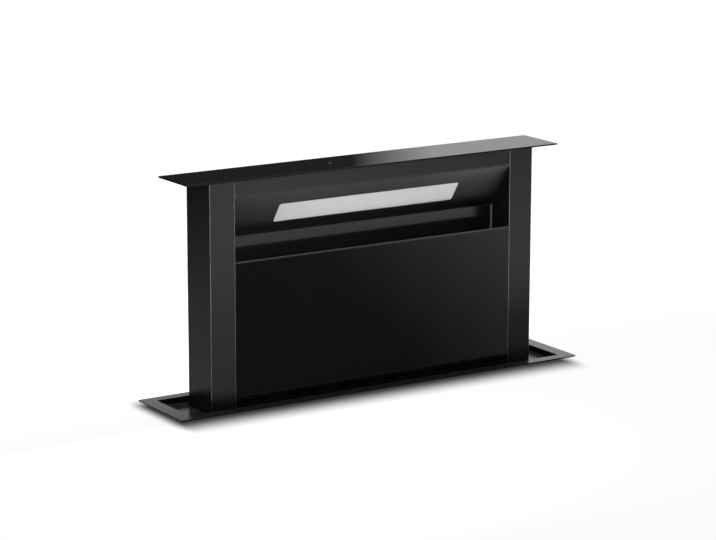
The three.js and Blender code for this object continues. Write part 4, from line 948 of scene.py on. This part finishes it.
def frosted():
    recipe = new_recipe("frosted_plate")
    haze = recipe.noise(60.0, 2.0)
    tone = recipe.greys(haze, 0.32, 0.365, 0.99)
    recipe.shader.inputs["Emission Strength"].default_value = LAMP_GLOW
    return recipe.paint(
        Base_Color=tone, Roughness=0.45 + haze * 0.1, Emission_Color=recipe.greys(haze, 0.96, 1.0))


def circuit_board():
    """Green solder mask over copper tracks that run along the board."""
    recipe = new_recipe("board_green")
    tracks = recipe.add("TexBrick", {"offset": 0.37}, {
        "Vector": recipe.place(), "Scale": 140.0, "Mortar Size": 0.05,
        "Color1": (0, 0, 0, 1), "Color2": (0, 0, 0, 1), "Mortar": (1, 1, 1, 1)})
    track = recipe.add("SeparateColor", None, {"Color": tracks})
    return recipe.paint(
        Base_Color=recipe.blend(track, (0.02, 0.09, 0.04, 1), (0.06, 0.2, 0.09, 1)),
        Roughness=0.3 + recipe.noise(300.0) * 0.15,
        Normal=recipe.bump(track, 0.00005, 0.5),
    )


eased("light_diffuser", frosted(), 0.0003)
board_green = circuit_board()
finish_node("led_board", board_green)


# ---------------------------------------------------------------------------------------------
# The lid: black glass, painted on its underside, with ground edges, glued to a steel carrier.
# A touch board under it works through the glass, where a small mark is printed on it.
def black_glass(name, level, roughness):
    recipe = new_recipe(name)
    smear = recipe.noise(5.0, 3.0)
    recipe.shader.inputs["Specular IOR Level"].default_value = level
    return recipe.paint(
        Base_Color=recipe.greys(smear, 0.0012, 0.0022, 0.98),
        Roughness=roughness * (0.7 + smear * 0.6),
    )


def ground_glass(name, tone):
    """Glass edge, ground matt and then blackened."""
    recipe = new_recipe(name)
    grind = recipe.noise(900.0, 3.0)
    recipe.shader.inputs["Specular IOR Level"].default_value = 0.12
    return recipe.paint(
        Base_Color=recipe.greys(grind, tone * 0.8, tone * 1.2),
        Roughness=0.5 + grind * 0.1,
        Normal=recipe.bump(grind, 0.00002, 0.4),
    )


lid_polish = black_glass("lid_glass_black", 0.5, 0.05)
lid_ground = ground_glass("lid_ground_edge", 0.004)


def lid_glass():
    """The lid as packed, with its upright edges in ground glass."""
    piece = eased("lid_glass", lid_polish, 0.0001, segments=1)
    piece.data.materials.append(lid_ground)
    low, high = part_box("lid_glass")
    for face in piece.data.polygons:
        if abs(face.normal.z) < STANDS or face.center.z < (low.z + high.z) / 2:
            face.material_index = 2


lid_glass()
eased("lid_carrier", tower_coat, 0.0003, tower_edge)
finish_node("touch_board", board_green)

MARK_RADIUS = 0.0028
MARK_LINE = 0.0007
MARK_STROKE = MARK_RADIUS * 1.15
MARK_SIDES = 40
MARK_GAP = 6                      # sides left open at the top of the ring
MARK_PROUD = 0.00004


def touch_mark():
    """A printed ring, open at the top, with an upright stroke in the gap."""
    recipe = new_recipe("printed_mark")
    grain = recipe.noise(4000.0, 2.0)
    ink = recipe.paint(Base_Color=recipe.greys(grain, 0.42, 0.5), Roughness=0.5 + grain * 0.1)
    board_low, board_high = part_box("touch_board")
    middle = (board_low + board_high) / 2
    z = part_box("lid_glass")[1].z + MARK_PROUD
    vertices, faces = [], []
    for i in range(MARK_SIDES - MARK_GAP + 1):
        angle = math.pi / 2 + 2 * math.pi * (i + MARK_GAP / 2) / MARK_SIDES
        for radius in (MARK_RADIUS - MARK_LINE, MARK_RADIUS):
            for height in (z, z - MARK_PROUD / 2):
                vertices.append((middle.x + radius * math.cos(angle),
                                 middle.y + radius * math.sin(angle), height))
    for i in range(MARK_SIDES - MARK_GAP):
        a, b = 4 * i, 4 * i + 4
        faces += [(a, b, b + 2, a + 2), (a + 1, a + 3, b + 3, b + 1),
                  (a, a + 1, b + 1, b), (a + 2, b + 2, b + 3, a + 3)]
    last = 4 * (MARK_SIDES - MARK_GAP)
    faces += [(0, 2, 3, 1), (last, last + 1, last + 3, last + 2)]
    base = len(vertices)
    half = MARK_LINE / 2
    for x, y in ((-half, 0.0), (half, 0.0), (half, MARK_STROKE), (-half, MARK_STROKE)):
        for height in (z, z - MARK_PROUD / 2):
            vertices.append((middle.x + x, middle.y + y, height))
    faces += [(base, base + 2, base + 4, base + 6), (base + 1, base + 7, base + 5, base + 3)]
    for i in range(4):
        a, b = base + 2 * i, base + 2 * ((i + 1) % 4)
        faces.append((a, a + 1, b + 1, b))
    piece = place_mesh("touch_mark", vertices, faces, ink)
    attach(piece, "tower")


touch_mark()


# ---------------------------------------------------------------------------------------------
# The front panel: black glass bonded to a steel carrier, which four studs hold in the rails'
# sockets, so that it pulls off forwards.
front_polish = black_glass("front_glass_black", 0.8, 0.018)


def painted_light_arris():
    """The ground arris of the glass, painted darker towards its foot as shade and lighter along its
    top as a highlight.
    """
    recipe = new_recipe("front_arris_painted_light")
    low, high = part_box("front_glass")
    up = recipe.along()[2].rise(low.z, high.z)
    grind = recipe.noise(900.0, 3.0)
    recipe.shader.inputs["Specular IOR Level"].default_value = 0.05
    return recipe.paint(
        Base_Color=recipe.greys(up ** 3.0 * (0.8 + grind * 0.4), 0.001, 0.07),
        Roughness=0.9 - up * 0.5,
    )


eased("front_glass", front_polish, 0.0004, painted_light_arris())
eased("front_glass_carrier", tower_coat, 0.0003, tower_edge)
